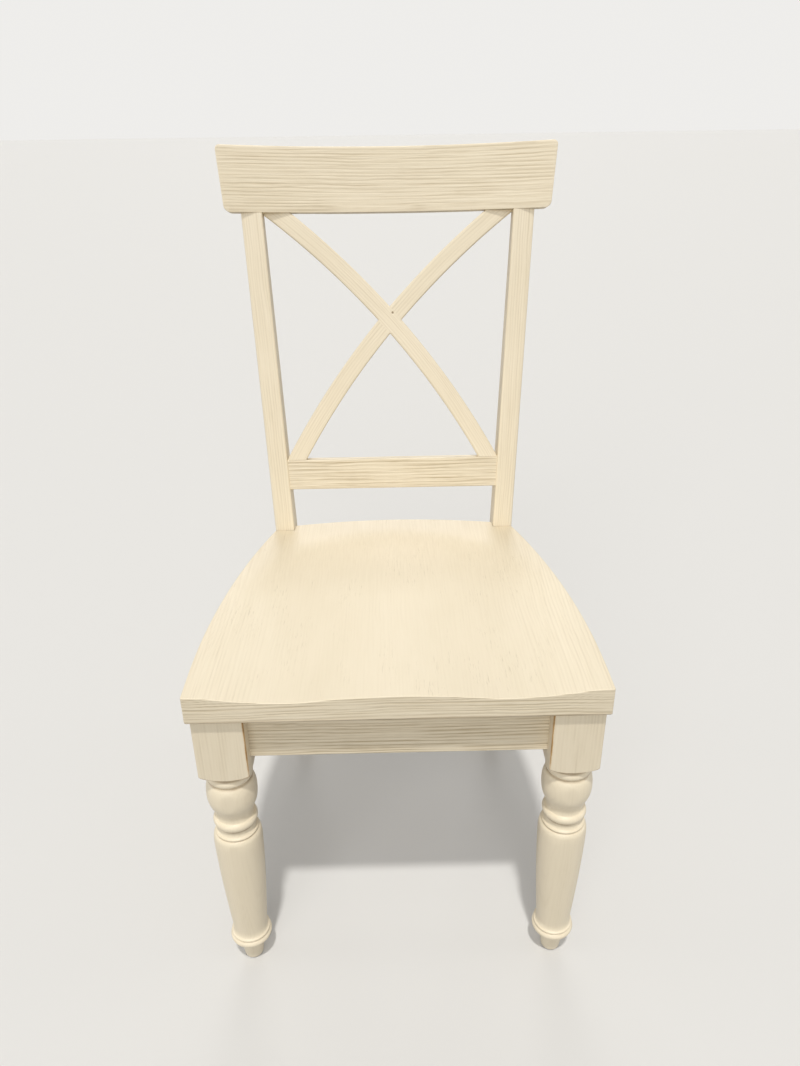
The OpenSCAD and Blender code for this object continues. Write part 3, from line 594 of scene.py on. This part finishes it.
def crest_rail():
    edge_r, top_corner_r, low_corner_r = 1.7, 6.5, 8.0
    half_h = CREST_H / 2
    xs = lines(-CREST_HALF, CREST_HALF, 2.6, low_corner_r, low_corner_r)
    near_end = np.array([0.8, 2.1, 3.7, 5.0])
    xs = np.unique(np.round(np.concatenate([xs, near_end - CREST_HALF, CREST_HALF - near_end]), 4))
    ws = lines(-half_h, half_h, 0.85, low_corner_r, 5.0)
    ts = lines(-CREST_T / 2, CREST_T / 2, 1.1, edge_r, edge_r)
    points, quads = plate(xs, ws, ts)
    quads = quads[:, ::-1]
    x, w, t = points.T
    corner_r = np.where(w > 0, top_corner_r, low_corner_r)
    x, w, gap, out_x, out_w = round_plan(x, w, CREST_HALF, half_h, corner_r)
    x, w, t, arris = round_rim(x, w, t, gap, out_x, out_w, CREST_T / 2, edge_r)
    coords = (x, w, t)
    up = (w + half_h) / CREST_H
    x = x * (CREST_LOW_HALF + (CREST_HALF - CREST_LOW_HALF) * up) / CREST_HALF
    reach = CREST_R + t + CREST_T / 2
    back = CREST_MID_V - CREST_R + np.sqrt(reach ** 2 - x ** 2)
    points = back_frame(x, back, w + half_h + CREST_UNDER)
    cut = double_grain(*coords, (21, 4.7, 0.75), (27, 2.9, 0.8), 0.6) * (1 - 0.85 * arris)
    points = bump_out(points, quads, cut * 0.4)
    make("crest_rail", points, quads, coords, -0.8 * cut, rubbed(*coords, arris, 22, 0.1))


# ---- Back rail and braces ----

def back_rail():
    r = 2.0
    # s goes from -1 at the left post to 1 at the right one, and its pitch is 2.8 mm of a half width of 155
    ss = lines(-1.0, 1.0, 2.8 / 155.0)
    vs = lines(-RAIL_T / 2, RAIL_T / 2, 1.0, r, r)
    ws = lines(-RAIL_H / 2, RAIL_H / 2, 0.9, r, r)
    points, quads = plate(ss, vs, ws)
    s, v, w = points.T
    v, w, arris = round_off(v, w, RAIL_T / 2, RAIL_H / 2, r)
    up = RAIL_TOP - RAIL_H / 2 + w
    x = s * post_inner(up)
    points = back_frame(x, RAIL_SETBACK + RAIL_T / 2 + v, up)
    coords = (x, w, v)
    cut = double_grain(*coords, (31, 5.2), (37, 3.2), 0.7) * (1 - 0.8 * arris)
    inner = np.abs(s) < 1 - AT_END
    points = bump_out(points, quads, cut * 0.38 * inner)
    make("back_rail", points, quads, coords, -1.25 * cut, rubbed(*coords, arris, 32))


# Each brace is an arc in a plane of its own x and height up from the back rail, which leans back a little.
BRACE_W, BRACE_T, BRACE_R = 25.0, 14.0, 1155.0
BRACE_BACK = 7.0  # how far back the braces come, from the back rail to the crest rail
BRACE_LEAN = math.atan(BRACE_BACK / (CREST_UNDER - RAIL_TOP))
BRACE_RUN = (CREST_UNDER - RAIL_TOP) / math.cos(BRACE_LEAN)
LOW_INSET, HIGH_INSET = 14.0, 17.5  # from a post's inner face to the ends of a brace's centre line
brace_low = np.array([post_inner(RAIL_TOP) - LOW_INSET, 0.0])
brace_high = np.array([-(post_inner(CREST_UNDER) - HIGH_INSET), BRACE_RUN])
brace_chord = brace_high - brace_low
brace_mid = (brace_low + brace_high) / 2
chord_l = float(np.hypot(*brace_chord))
chord_side = np.array([brace_chord[1], -brace_chord[0]]) / chord_l
brace_c = brace_mid - chord_side * math.sqrt(BRACE_R ** 2 - chord_l ** 2 / 4)
CROSS_UP = brace_c[1] + math.sqrt(BRACE_R ** 2 - brace_c[0] ** 2)
NAIL = (4.0, CROSS_UP + 10.0)
NAIL_DENT_R, NAIL_DENT_DEPTH = 1.9, 0.85


def brace_crossing(ring, out):
    """Angle where the ring of one brace meets the far brace's edge at half width out from its centre line."""
    # the other brace is the mirror image, so its arc has its centre at -brace_c[0]
    far = BRACE_R + out
    d = -2 * brace_c[0]
    a = (ring ** 2 - far ** 2 + d ** 2) / (2 * d)
    return np.arctan2(np.sqrt(ring ** 2 - a ** 2), a)


def brace(side, node):
    """side 1: top end on the left, in front at the crossing. side -1: the other one, behind it there."""
    r = 2.4
    half = BRACE_W / 2
    across = lines(-half, half, 0.95, r, r)
    deep = lines(-BRACE_T / 2, BRACE_T / 2, 1.0, r, r)
    # stations run from 0 at the low end, through 1 and 2 at the sides of the lap, to 3 at the high end
    step = 0.02
    stations = np.concatenate([
        np.linspace(0.0, 1.0, 80), np.linspace(1.0 + step, 2.0 - step, 30), np.linspace(2.0, 3.0, 60)
    ])
    if side > 0:
        # closer lattice lines where the nail's dent is
        ring_at = math.hypot(NAIL[0] - brace_c[0], NAIL[1] - brace_c[1]) - BRACE_R
        extra = ring_at + np.linspace(-2.0, 2.0, 11)
        across = np.sort(np.concatenate([across[np.abs(across - ring_at) > 2.2], extra]))
        across = across[(across <= half) & (across >= -half)]
        stations = np.sort(np.concatenate([stations, 1.72 + np.linspace(-0.12, 0.12, 17)]))
    points, quads = plate(across, stations, deep)
    a, s, t = points.T
    lap = np.clip((0.5 - np.abs(s - 1.5)) / step, 0.0, 1.0)
    local_r = r * (1 - lap) + 0.05
    a2, t2, arris = round_off(a, t, half, BRACE_T / 2, local_r)
    depth = t2 + BRACE_T / 2
    # the half lap: the front brace gives up its rear half and the other its front half
    depth = depth * (1 - 0.5 * lap) + (0.0 if side > 0 else BRACE_T / 2 * lap)
    ring = BRACE_R + a2
    start = np.arcsin((depth * math.tan(BRACE_LEAN) - brace_c[1]) / ring)
    stop_up = (CREST_UNDER - RAIL_TOP + depth * math.sin(BRACE_LEAN)) / math.cos(BRACE_LEAN)
    stop = np.arcsin((stop_up - brace_c[1]) / ring)
    first = brace_crossing(ring, -half)
    second = brace_crossing(ring, half)
    knots = np.stack([start, np.minimum(first, second), np.maximum(first, second), stop], 0)
    k = np.clip(np.floor(s), 0, 2).astype(int)
    share = s - k
    pick = np.arange(len(s))
    angle = knots[k, pick] * (1 - share) + knots[k + 1, pick] * share
    x = brace_c[0] + ring * np.cos(angle)
    up = brace_c[1] + ring * np.sin(angle)
    dent = 0.0
    if side > 0:
        off = np.hypot(x - NAIL[0], up - NAIL[1])
        dent = np.clip((NAIL_DENT_R - off) / 0.5, 0.0, 1.0) * (t < -BRACE_T / 2 + 0.01)
        depth = depth + NAIL_DENT_DEPTH * dent
    v = RAIL_SETBACK + depth * math.cos(BRACE_LEAN) + up * math.sin(BRACE_LEAN)
    w = RAIL_TOP - depth * math.sin(BRACE_LEAN) + up * math.cos(BRACE_LEAN)
    # what would go past the post's face is pressed against it, all but a fiftieth
    over = np.maximum(np.abs(x) - post_inner(w), 0.0)
    x = side * np.sign(x) * (np.abs(x) - 0.98 * over)
    # the plate is inside out for side 1, and the mirror image for side -1 turns it right again
    if side > 0:
        quads = quads[:, ::-1]
    points = back_frame(x, v, w)
    # the shift in depth gives each brace grain of its own
    coords = (angle * BRACE_R, a2, t2 + 60.0 * side)
    cut = grain(*coords, 41 + side, 3.4)
    ends = (s < AT_END) | (s > 3 - AT_END)
    points = bump_out(points, quads, cut * 0.13 * ~ends)
    groove_glaze_and_shade = -0.38 * cut * (1 - 0.8 * arris)
    # the nail's dent is darkened a little
    make(node, points, quads, coords, groove_glaze_and_shade, rubbed(*coords, arris, 43 + side), 0.25 * dent, 0.7)


# ---- Rear posts ----

def rounded_path(corners, knots, s, bend):
    """The path through the corners at s along it, with its bends rounded over bend to each side."""
    far = 100.0
    before = corners[0] - (corners[1] - corners[0]) * far / (knots[1] - knots[0])
    after = corners[-1] + (corners[-1] - corners[-2]) * far / (knots[-1] - knots[-2])
    spots = np.vstack([before, corners, after])
    ks = np.concatenate([[knots[0] - far], knots, [knots[-1] + far]])
    shifts = np.linspace(-bend, bend, 9)
    return np.stack([np.mean([np.interp(s + d, ks, spots[:, c]) for d in shifts], 0) for c in (0, 1)], 1)


def rear_post(side, node):
    half, deep = POST_W / 2, POST_D / 2
    kick, foot_d, top_d = 44.0, 30.0, 22.0
    outer_r, arris_r = 5.0, 3.0
    lower_z = APRON_Z - 20.0
    top_front, top_back = back_frame(np.zeros(2), np.array([0.0, top_d]), CREST_UNDER)[:, 1:]
    front = np.array([(POST_Y + kick, FOOT_Z), (POST_Y, lower_z), (POST_Y, SEAT_TOP), top_front])
    back = np.array([(POST_Y + kick + foot_d, FOOT_Z), (POST_Y + POST_D, lower_z),
                     (POST_Y + POST_D, SEAT_TOP + POST_BEND), top_back])
    knots = np.concatenate([[0.0], np.cumsum(np.hypot(*np.diff(front, axis=0).T))])
    ease = 1.2  # the foot's edges are eased over this height
    ps = lines(-half, half, 0.85, arris_r, outer_r)
    qs = lines(-deep, deep, 1.1, outer_r, arris_r)
    ss = np.concatenate([[0.0, 0.5, ease], lines(2 * ease, knots[-1], 3.8)])
    points, quads = plate(ps, qs, ss)
    p, q, s = points.T
    r = np.where((p > 0) & (q < 0), outer_r, arris_r)
    p, q, arris = round_off(p, q, half, deep, r)
    shrink = np.clip(ease - s, 0.0, ease)
    shrink = shrink * shrink / ease
    p = p * (1 - shrink / half)
    q = q * (1 - shrink / deep)
    share = ((q + deep) / (2 * deep))[:, None]
    run = rounded_path(front, knots, s, 14.0) * (1 - share) + rounded_path(back, knots, s, 20.0) * share
    y, z = run.T
    lift = z - SEAT_TOP
    eased = (lift + POST_BEND) ** 2 / (4 * POST_BEND)
    splay = np.where(lift > POST_BEND, lift, np.where(lift < -POST_BEND, 0.0, eased))
    x = side * (POST_X + math.tan(SPLAY) * splay + p)
    points = np.stack([x, y, z], 1)
    if side < 0:
        quads = quads[:, ::-1]
    coords = (s, p * side, q)
    cut = grain(*coords, 51 + side, 2.6, 0.8, (180.0, 150.0))
    top = s > knots[-1] - AT_END
    points = bump_out(points, quads, cut * 0.14 * ~top * (1 - 0.4 * arris))
    groove_glaze_and_shade = -0.38 * cut * (1 - 0.8 * arris)
    make(node, points, quads, coords, groove_glaze_and_shade, rubbed(*coords, arris, 53 + side), brush=0.7)


# ---- Front legs ----

def run_of(*corners, pitch):
    """Points along a straight line of two corners, or a quadratic curve of three."""
    c = np.array(corners, float)
    count = max(2, int(math.ceil(np.hypot(*np.diff(c, axis=0).T).sum() / pitch)) + 1)
    t = np.linspace(0.0, 1.0, count)[:, None]
    if len(c) == 2:
        return c[0] * (1 - t) + c[1] * t
    return (1 - t) ** 2 * c[0] + 2 * t * (1 - t) * c[1] + t * t * c[2]


def ring_of(r, z, wide, high, start, stop, count):
    """Points of a turned ring: an ellipse about (r, z) from one angle to another."""
    a = np.radians(np.linspace(start, stop, count))
    return np.stack([r + wide * np.cos(a), z + high * np.sin(a)], 1)


def leg_profile():
    """Outline of the turning as (radius, height), from the middle of the foot up to the top of the block."""
    beyond = 43.2  # past the block's arrises, so that the block's square section shows there
    parts = [
        # peg foot
        run_of((2.0, FOOT_Z), (10.0, FOOT_Z), pitch=3.0),
        run_of((10.0, FOOT_Z), (12.5, FOOT_Z), (12.6, 4.2), pitch=0.7),
        run_of((12.6, 4.2), (14.2, 16.0), (14.5, 37.4), pitch=2.4),
        run_of((14.5, 37.6), (14.6, 38.1), (15.4, 38.1), pitch=0.5),
        run_of((15.4, 38.1), (20.6, 38.1), pitch=1.5),
        # ankle ring and bead
        ring_of(20.9, 43.6, 6.3, 5.5, -88.0, 66.0, 17),
        run_of((23.4, 48.7), (22.9, 49.3), (24.2, 49.4), pitch=0.4),
        run_of((24.2, 49.4), (25.6, 49.6), (25.4, 51.4), pitch=0.6),
        run_of((25.4, 51.4), (25.0, 52.6), (23.9, 53.1), pitch=0.6),
        # tapered shaft
        run_of((23.9, 53.1), (22.0, 55.0), (22.1, 61.0), pitch=1.0),
        run_of((22.1, 61.0), (29.0, 150.0), (30.2, 214.7), pitch=3.4),
        run_of((30.2, 214.7), (30.4, 224.0), (29.4, 229.5), pitch=1.5),
        run_of((29.4, 229.5), (28.4, 233.2), (26.4, 234.3), pitch=0.7),
        # bead, neck and ring
        run_of((26.4, 234.3), (25.3, 234.6), (25.3, 235.3), pitch=0.4),
        run_of((25.3, 235.3), (26.9, 235.6), (26.7, 237.2), pitch=0.5),
        run_of((26.7, 237.2), (26.2, 238.4), (24.9, 238.8), pitch=0.5),
        run_of((24.9, 238.8), (22.6, 240.4), (22.8, 248.6), pitch=1.0),
        ring_of(22.3, 254.6, 4.9, 5.7, -80.0, 76.0, 17),
        # bulb
        run_of((23.3, 260.3), (22.4, 261.2), (22.5, 266.0), pitch=0.8),
        run_of((22.5, 266.0), (24.0, 272.0), (27.6, 280.0), pitch=1.3),
        run_of((27.6, 280.0), (31.4, 289.0), (30.9, 300.5), pitch=1.3),
        run_of((30.9, 300.5), (30.6, 311.5), (27.4, 316.8), pitch=1.1),
        run_of((27.4, 316.8), (25.6, 319.3), (24.2, 319.9), pitch=0.8),
        # collar
        run_of((24.2, 319.9), (23.5, 320.4), (23.8, 321.2), pitch=0.4),
        run_of((23.8, 321.2), (27.9, 321.6), (27.7, 325.6), pitch=0.7),
        run_of((27.7, 325.6), (27.3, 329.6), (24.4, 330.6), pitch=0.7),
        run_of((24.4, 330.6), (23.9, 331.4), (24.3, 332.2), pitch=0.4),
        run_of((24.3, 332.2), (24.8, 335.8), (26.8, BLOCK_Z), pitch=0.7),
        # underside of the block, its turned-off corners, and the block
        run_of((26.8, BLOCK_Z), (29.0, BLOCK_Z), pitch=1.1),
        run_of((29.0, BLOCK_Z), (37.2, 338.5), (beyond, 344.0), pitch=0.7),
        run_of((beyond, 344.0), (beyond, SEAT_UNDER), pitch=3.2),
    ]
    joined = [parts[0]]
    for part in parts[1:]:
        joined.append(part[1:] if np.allclose(part[0], joined[-1][-1]) else part)
    return np.concatenate(joined)


# where the turning is darkened brown, partly glaze and partly painted shade in its grooves and under its
# rings and the block: radius, height, spread and strength
GROOVES = (
    (14.6, 38.0, 1.3, 0.6), (23.2, 49.2, 1.1, 0.3), (25.4, 234.9, 1.1, 0.6), (22.7, 247.0, 1.6, 0.7),
    (25.8, 319.0, 1.5, 0.65), (27.9, 321.7, 1.1, 0.6), (24.3, 331.2, 2.3, 0.8), (27.0, 337.0, 2.0, 1.0),
)


def front_leg(side, node):
    arris_r = 2.6
    face = lines(-LEG_HALF, LEG_HALF, 1.75, arris_r, arris_r)[:-1]
    fp, fq, arris_at = round_off(np.full(len(face), LEG_HALF), face, LEG_HALF, LEG_HALF, arris_r)
    angle = np.concatenate([np.arctan2(fq, fp) + math.pi / 2 * k for k in range(4)])
    square = np.tile(np.hypot(fp, fq), 4)[None, :]
    profile = leg_profile()
    lathe = profile[:, 0][:, None]
    rows, cols = len(profile), len(angle)
    # the turning, cut off by the square of the block with a softened edge
    soft = 1.2
    radius = soft_min(lathe, square, soft)
    on_block = (lathe >= square + soft).ravel()
    height = np.repeat(profile[:, 1], cols)
    points = np.stack([(radius * np.cos(angle)).ravel(), (radius * np.sin(angle)).ravel(), height], 1)
    index = np.arange(rows * cols).reshape(rows, cols)
    right = np.roll(index, -1, 1)
    quads = np.stack([index[:-1], right[:-1], right[1:], index[1:]], -1).reshape(-1, 4)
    caps = [index[0][::-1].tolist(), index[-1].tolist()]
    u, g, d = height, points[:, 0] * side, points[:, 1]
    cut = grain(u, g, d, 61 + side, 2.6, 0.8, (190.0, 170.0))
    turned = height < BLOCK_Z + 0.5
    shallow = np.where(turned, 0.12, 0.32)
    points = bump_out(points, quads, cut * shallow * 0.24 * (height < SEAT_UNDER - 0.5))
    x, y, z = points.T
    glaze_and_shade = np.zeros(rows)
    for groove_r, groove_z, spread, strength in GROOVES:
        off = np.hypot(profile[:, 0] - groove_r, profile[:, 1] - groove_z)
        glaze_and_shade = np.maximum(glaze_and_shade, strength * np.exp(-(off / spread) ** 2))
    # painted shade at the top of the block, under the seat
    glaze_and_shade = np.maximum(glaze_and_shade, 0.9 * shade_under_seat(profile[:, 1]))
    glaze_and_shade = np.repeat(glaze_and_shade, cols) * (0.85 + 0.4 * noise(u / 9, g / 9, d / 9, 66))
    # the block's arrises, most of all the inner front one, and the curved line under the block are rubbed
    arris = np.tile(arris_at, 4 * rows) * on_block
    wear = rubbed(u, g, d, arris, 63 + side)
    inner_off = x * side + LEG_HALF - 0.6
    front_off = y + LEG_HALF - 0.6
    inner_front = np.exp(-(inner_off ** 2 + front_off ** 2) / 1.35 ** 2)
    broken = np.clip(0.7 + 0.45 * noise(u / 18, g / 5, d / 5, 67), 0.3, 1.1)
    wear = np.maximum(wear, inner_front * on_block * broken)
    crease = np.exp(-((lathe - square).ravel() / 1.1) ** 2) * (z > BLOCK_Z - 1.0)
    broken = np.clip(0.5 + 0.6 * noise(np.arctan2(y, x) * 5, u / 8, side, 68), 0.0, 1.0)
    wear = np.maximum(wear, crease * broken)
    # the crease under the block also gets brown glaze and painted shade
    glaze_and_shade = np.clip(np.maximum(glaze_and_shade, 0.8 * crease), 0.0, 1.0)
    brush = np.where(turned, 0.12, 0.5)
    points = np.stack([side * LEG_X + x, y + LEG_Y, z], 1)
    make(node, points, quads, (u, g, d), -cut * shallow, wear, glaze_and_shade, brush, 0.1, caps)


# ---- Aprons ----

def apron(node, half_l, centre, seed, turn=0.0, skew=0.0):
    """A board on edge under the seat. turn: angle about Z of its length. skew: slope of its end cuts."""
    lo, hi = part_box(node)
    high = (hi.z - lo.z) / MM
    r = 2.0
    xs = lines(-half_l, half_l, 3.2)
    ts = lines(-APRON_T / 2, APRON_T / 2, 1.3, r, r)
    zs = lines(-high / 2, high / 2, 1.0, r, r)
    points, quads = plate(xs, ts, zs)
    x, t, z = points.T
    end = np.abs(np.abs(x) - half_l) < AT_END
    t, z, arris = round_off(t, z, APRON_T / 2, high / 2, r)
    along = x + skew * t
    c, s = math.cos(turn), math.sin(turn)
    px = centre[0] + along * c - t * s
    py = centre[1] + along * s + t * c
    points = np.stack([px, py, lo.z / MM + high / 2 + z], 1)
    coords = (along, z, t)
    cut = double_grain(*coords, (seed, 4.6, 1.1), (seed + 100, 3.0), 0.6) * (1 - 0.8 * arris)
    points = bump_out(points, quads, cut * 0.45 * ~end)
    # painted shade: the apron's top is darkened brown where it meets the seat's underside
    glaze_and_shade = 0.9 * shade_under_seat(points[:, 2])
    make(node, points, quads, coords, -1.4 * cut, rubbed(*coords, arris, seed + 1), glaze_and_shade)


def side_apron(side, node, seed):
    start = np.array([side * SIDE_APRON_X, LEG_Y + LEG_HALF])
    stop = np.array([side * POST_X, POST_Y])
    way = stop - start
    length = float(np.hypot(*way))
    turn = math.atan2(way[1], way[0])
    apron(node, length / 2, (start + stop) / 2, seed, turn, skew=-1.0 / math.tan(turn))


seat()
crest_rail()
back_rail()
brace(1, "brace_left_top")
brace(-1, "brace_right_top")
rear_post(-1, "rear_post_left")
rear_post(1, "rear_post_right")
front_leg(-1, "front_leg_left")
front_leg(1, "front_leg_right")
apron("front_apron", apron_hi.x / MM, (0.0, back_from_front((apron_lo.y + apron_hi.y) / 2)), 71)
apron("rear_apron", rear_hi.x / MM, (0.0, back_from_front((rear_lo.y + rear_hi.y) / 2)), 74)
side_apron(-1, "side_apron_left", 77)
side_apron(1, "side_apron_right", 80)

# ---- Materials of the CAD nodes that stay ----

BLOCK_WOOD = bare_wood("bare_pine", srgb(214, 182, 132), srgb(180, 138, 86), 0)
DOWEL_WOOD = bare_wood("dowel_beech", srgb(222, 192, 146), srgb(190, 150, 100), 2)
ZINC = plated("zinc_plate", srgb(176, 178, 182), srgb(140, 142, 146), 0.3, 0.45)
NAIL_STEEL = plated("dull_nail", srgb(150, 134, 112), srgb(118, 102, 82), 0.5, 0.65)
NYLON = nylon()
# the first row with text that is in a node's name gives its material; painted pieces replace the rest
KEPT = (
    ("_dowels", DOWEL_WOOD), ("_screws", ZINC), ("_bolts", ZINC), ("_washers", ZINC), ("_nuts", ZINC),
    ("corner_block_", BLOCK_WOOD), ("cross_nail", NAIL_STEEL), ("glide_", NYLON),
)
for node_name, node_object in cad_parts.items():
    for text, kept_material in KEPT:
        if text in node_name:
            node_object.data.materials.clear()
            node_object.data.materials.append(kept_material)
            break

# ---- Floor, light and camera ----

SCENE = bpy.context.scene
SCENE.view_settings.view_transform = "Standard"

# the floor and the sky look pale, but light the chair as if they were darker
FLOOR_SEEN, FLOOR_BOUNCE = (0.76, 0.75, 0.73, 1.0), (0.27, 0.265, 0.26, 1.0)
SKY_SEEN, SKY_LIGHT = (0.86, 0.85, 0.83, 1.0), (0.36, 0.358, 0.352, 1.0)
FLOOR_HALF = 60.0  # metres


def seen_by_camera(n):
    """1 for rays that show the background: camera, glossy and transmission rays."""
    path = n.add("ShaderNodeLightPath").outputs
    either = n.math("MAXIMUM", path["Is Camera Ray"], path["Is Glossy Ray"])
    return n.math("MAXIMUM", either, path["Is Transmission Ray"])


floor_mesh = bpy.data.meshes.new("floor")
floor_corners = [(x * FLOOR_HALF, y * FLOOR_HALF, 0.0) for x, y in ((-1, -1), (1, -1), (1, 1), (-1, 1))]
floor_mesh.from_pydata(floor_corners, [], [(0, 1, 2, 3)])
floor = bpy.data.objects.new("floor", floor_mesh)
SCENE.collection.objects.link(floor)
ground = new_material("pale_floor")
floor_colour = ground.mix(seen_by_camera(ground), FLOOR_BOUNCE, FLOOR_SEEN)
floor_mesh.materials.append(ground.finish(Base_Color=floor_colour, Roughness=0.9, Specular_IOR_Level=0.1))

SCENE.world = bpy.data.worlds.new("studio")
sky = Nodes(SCENE.world)
background = sky.tree.nodes["Background"]
sky.put(background.inputs["Strength"], 1.0)
sky.put(background.inputs["Color"], sky.mix(seen_by_camera(sky), SKY_LIGHT, SKY_SEEN))


def sun(name, strength, angle, azimuth, elevation, colour=(1.0, 1.0, 1.0)):
    """A soft far lamp. Azimuth 0 is in front of the chair and 90 to its right, as seen from the front."""
    lamp = bpy.data.lights.new(name, "SUN")
    lamp.energy = strength
    lamp.angle = math.radians(angle)
    lamp.color = colour
    holder = bpy.data.objects.new(name, lamp)
    SCENE.collection.objects.link(holder)
    a, e = math.radians(azimuth), math.radians(elevation)
    toward = Vector((math.sin(a) * math.cos(e), -math.cos(a) * math.cos(e), math.sin(e)))
    holder.rotation_euler = toward.to_track_quat("Z", "Y").to_euler()


sun("key", 1.53, 3.0, 0.0, 67.5, (1.0, 0.985, 0.955))
sun("front_fill", 1.03, 45.0, -10.0, 27.0)
sun("rear_fill", 0.6, 30.0, 180.0, 25.0)
sun("left_fill", 0.8, 20.0, -90.0, 2.0)
sun("right_fill", 0.7, 20.0, 90.0, 2.0)

# the camera as fitted to the photograph: yaw to the right, pitch down and roll, in degrees, then metres
YAW, PITCH, ROLL = (math.radians(a) for a in (0.72816, 26.84906, -0.80394))
CAMERA_PLACE = (-0.00497, -0.987865, 1.02283)
forward = Vector((math.sin(YAW) * math.cos(PITCH), math.cos(YAW) * math.cos(PITCH), -math.sin(PITCH)))
sideways = Vector((math.cos(YAW), -math.sin(YAW), 0.0))
upright = sideways.cross(forward)
right = math.cos(ROLL) * sideways + math.sin(ROLL) * upright
above = -math.sin(ROLL) * sideways + math.cos(ROLL) * upright
camera_data = bpy.data.cameras.new("camera")
camera_data.lens = 27.703
camera_data.sensor_width = 36.0
camera_data.clip_start = 0.01
camera_data.clip_end = 200.0
camera = bpy.data.objects.new("camera", camera_data)
SCENE.collection.objects.link(camera)
turn = Matrix((right, above, -forward)).transposed().to_4x4()
camera.matrix_world = Matrix.Translation(CAMERA_PLACE) @ turn
SCENE.camera = camera
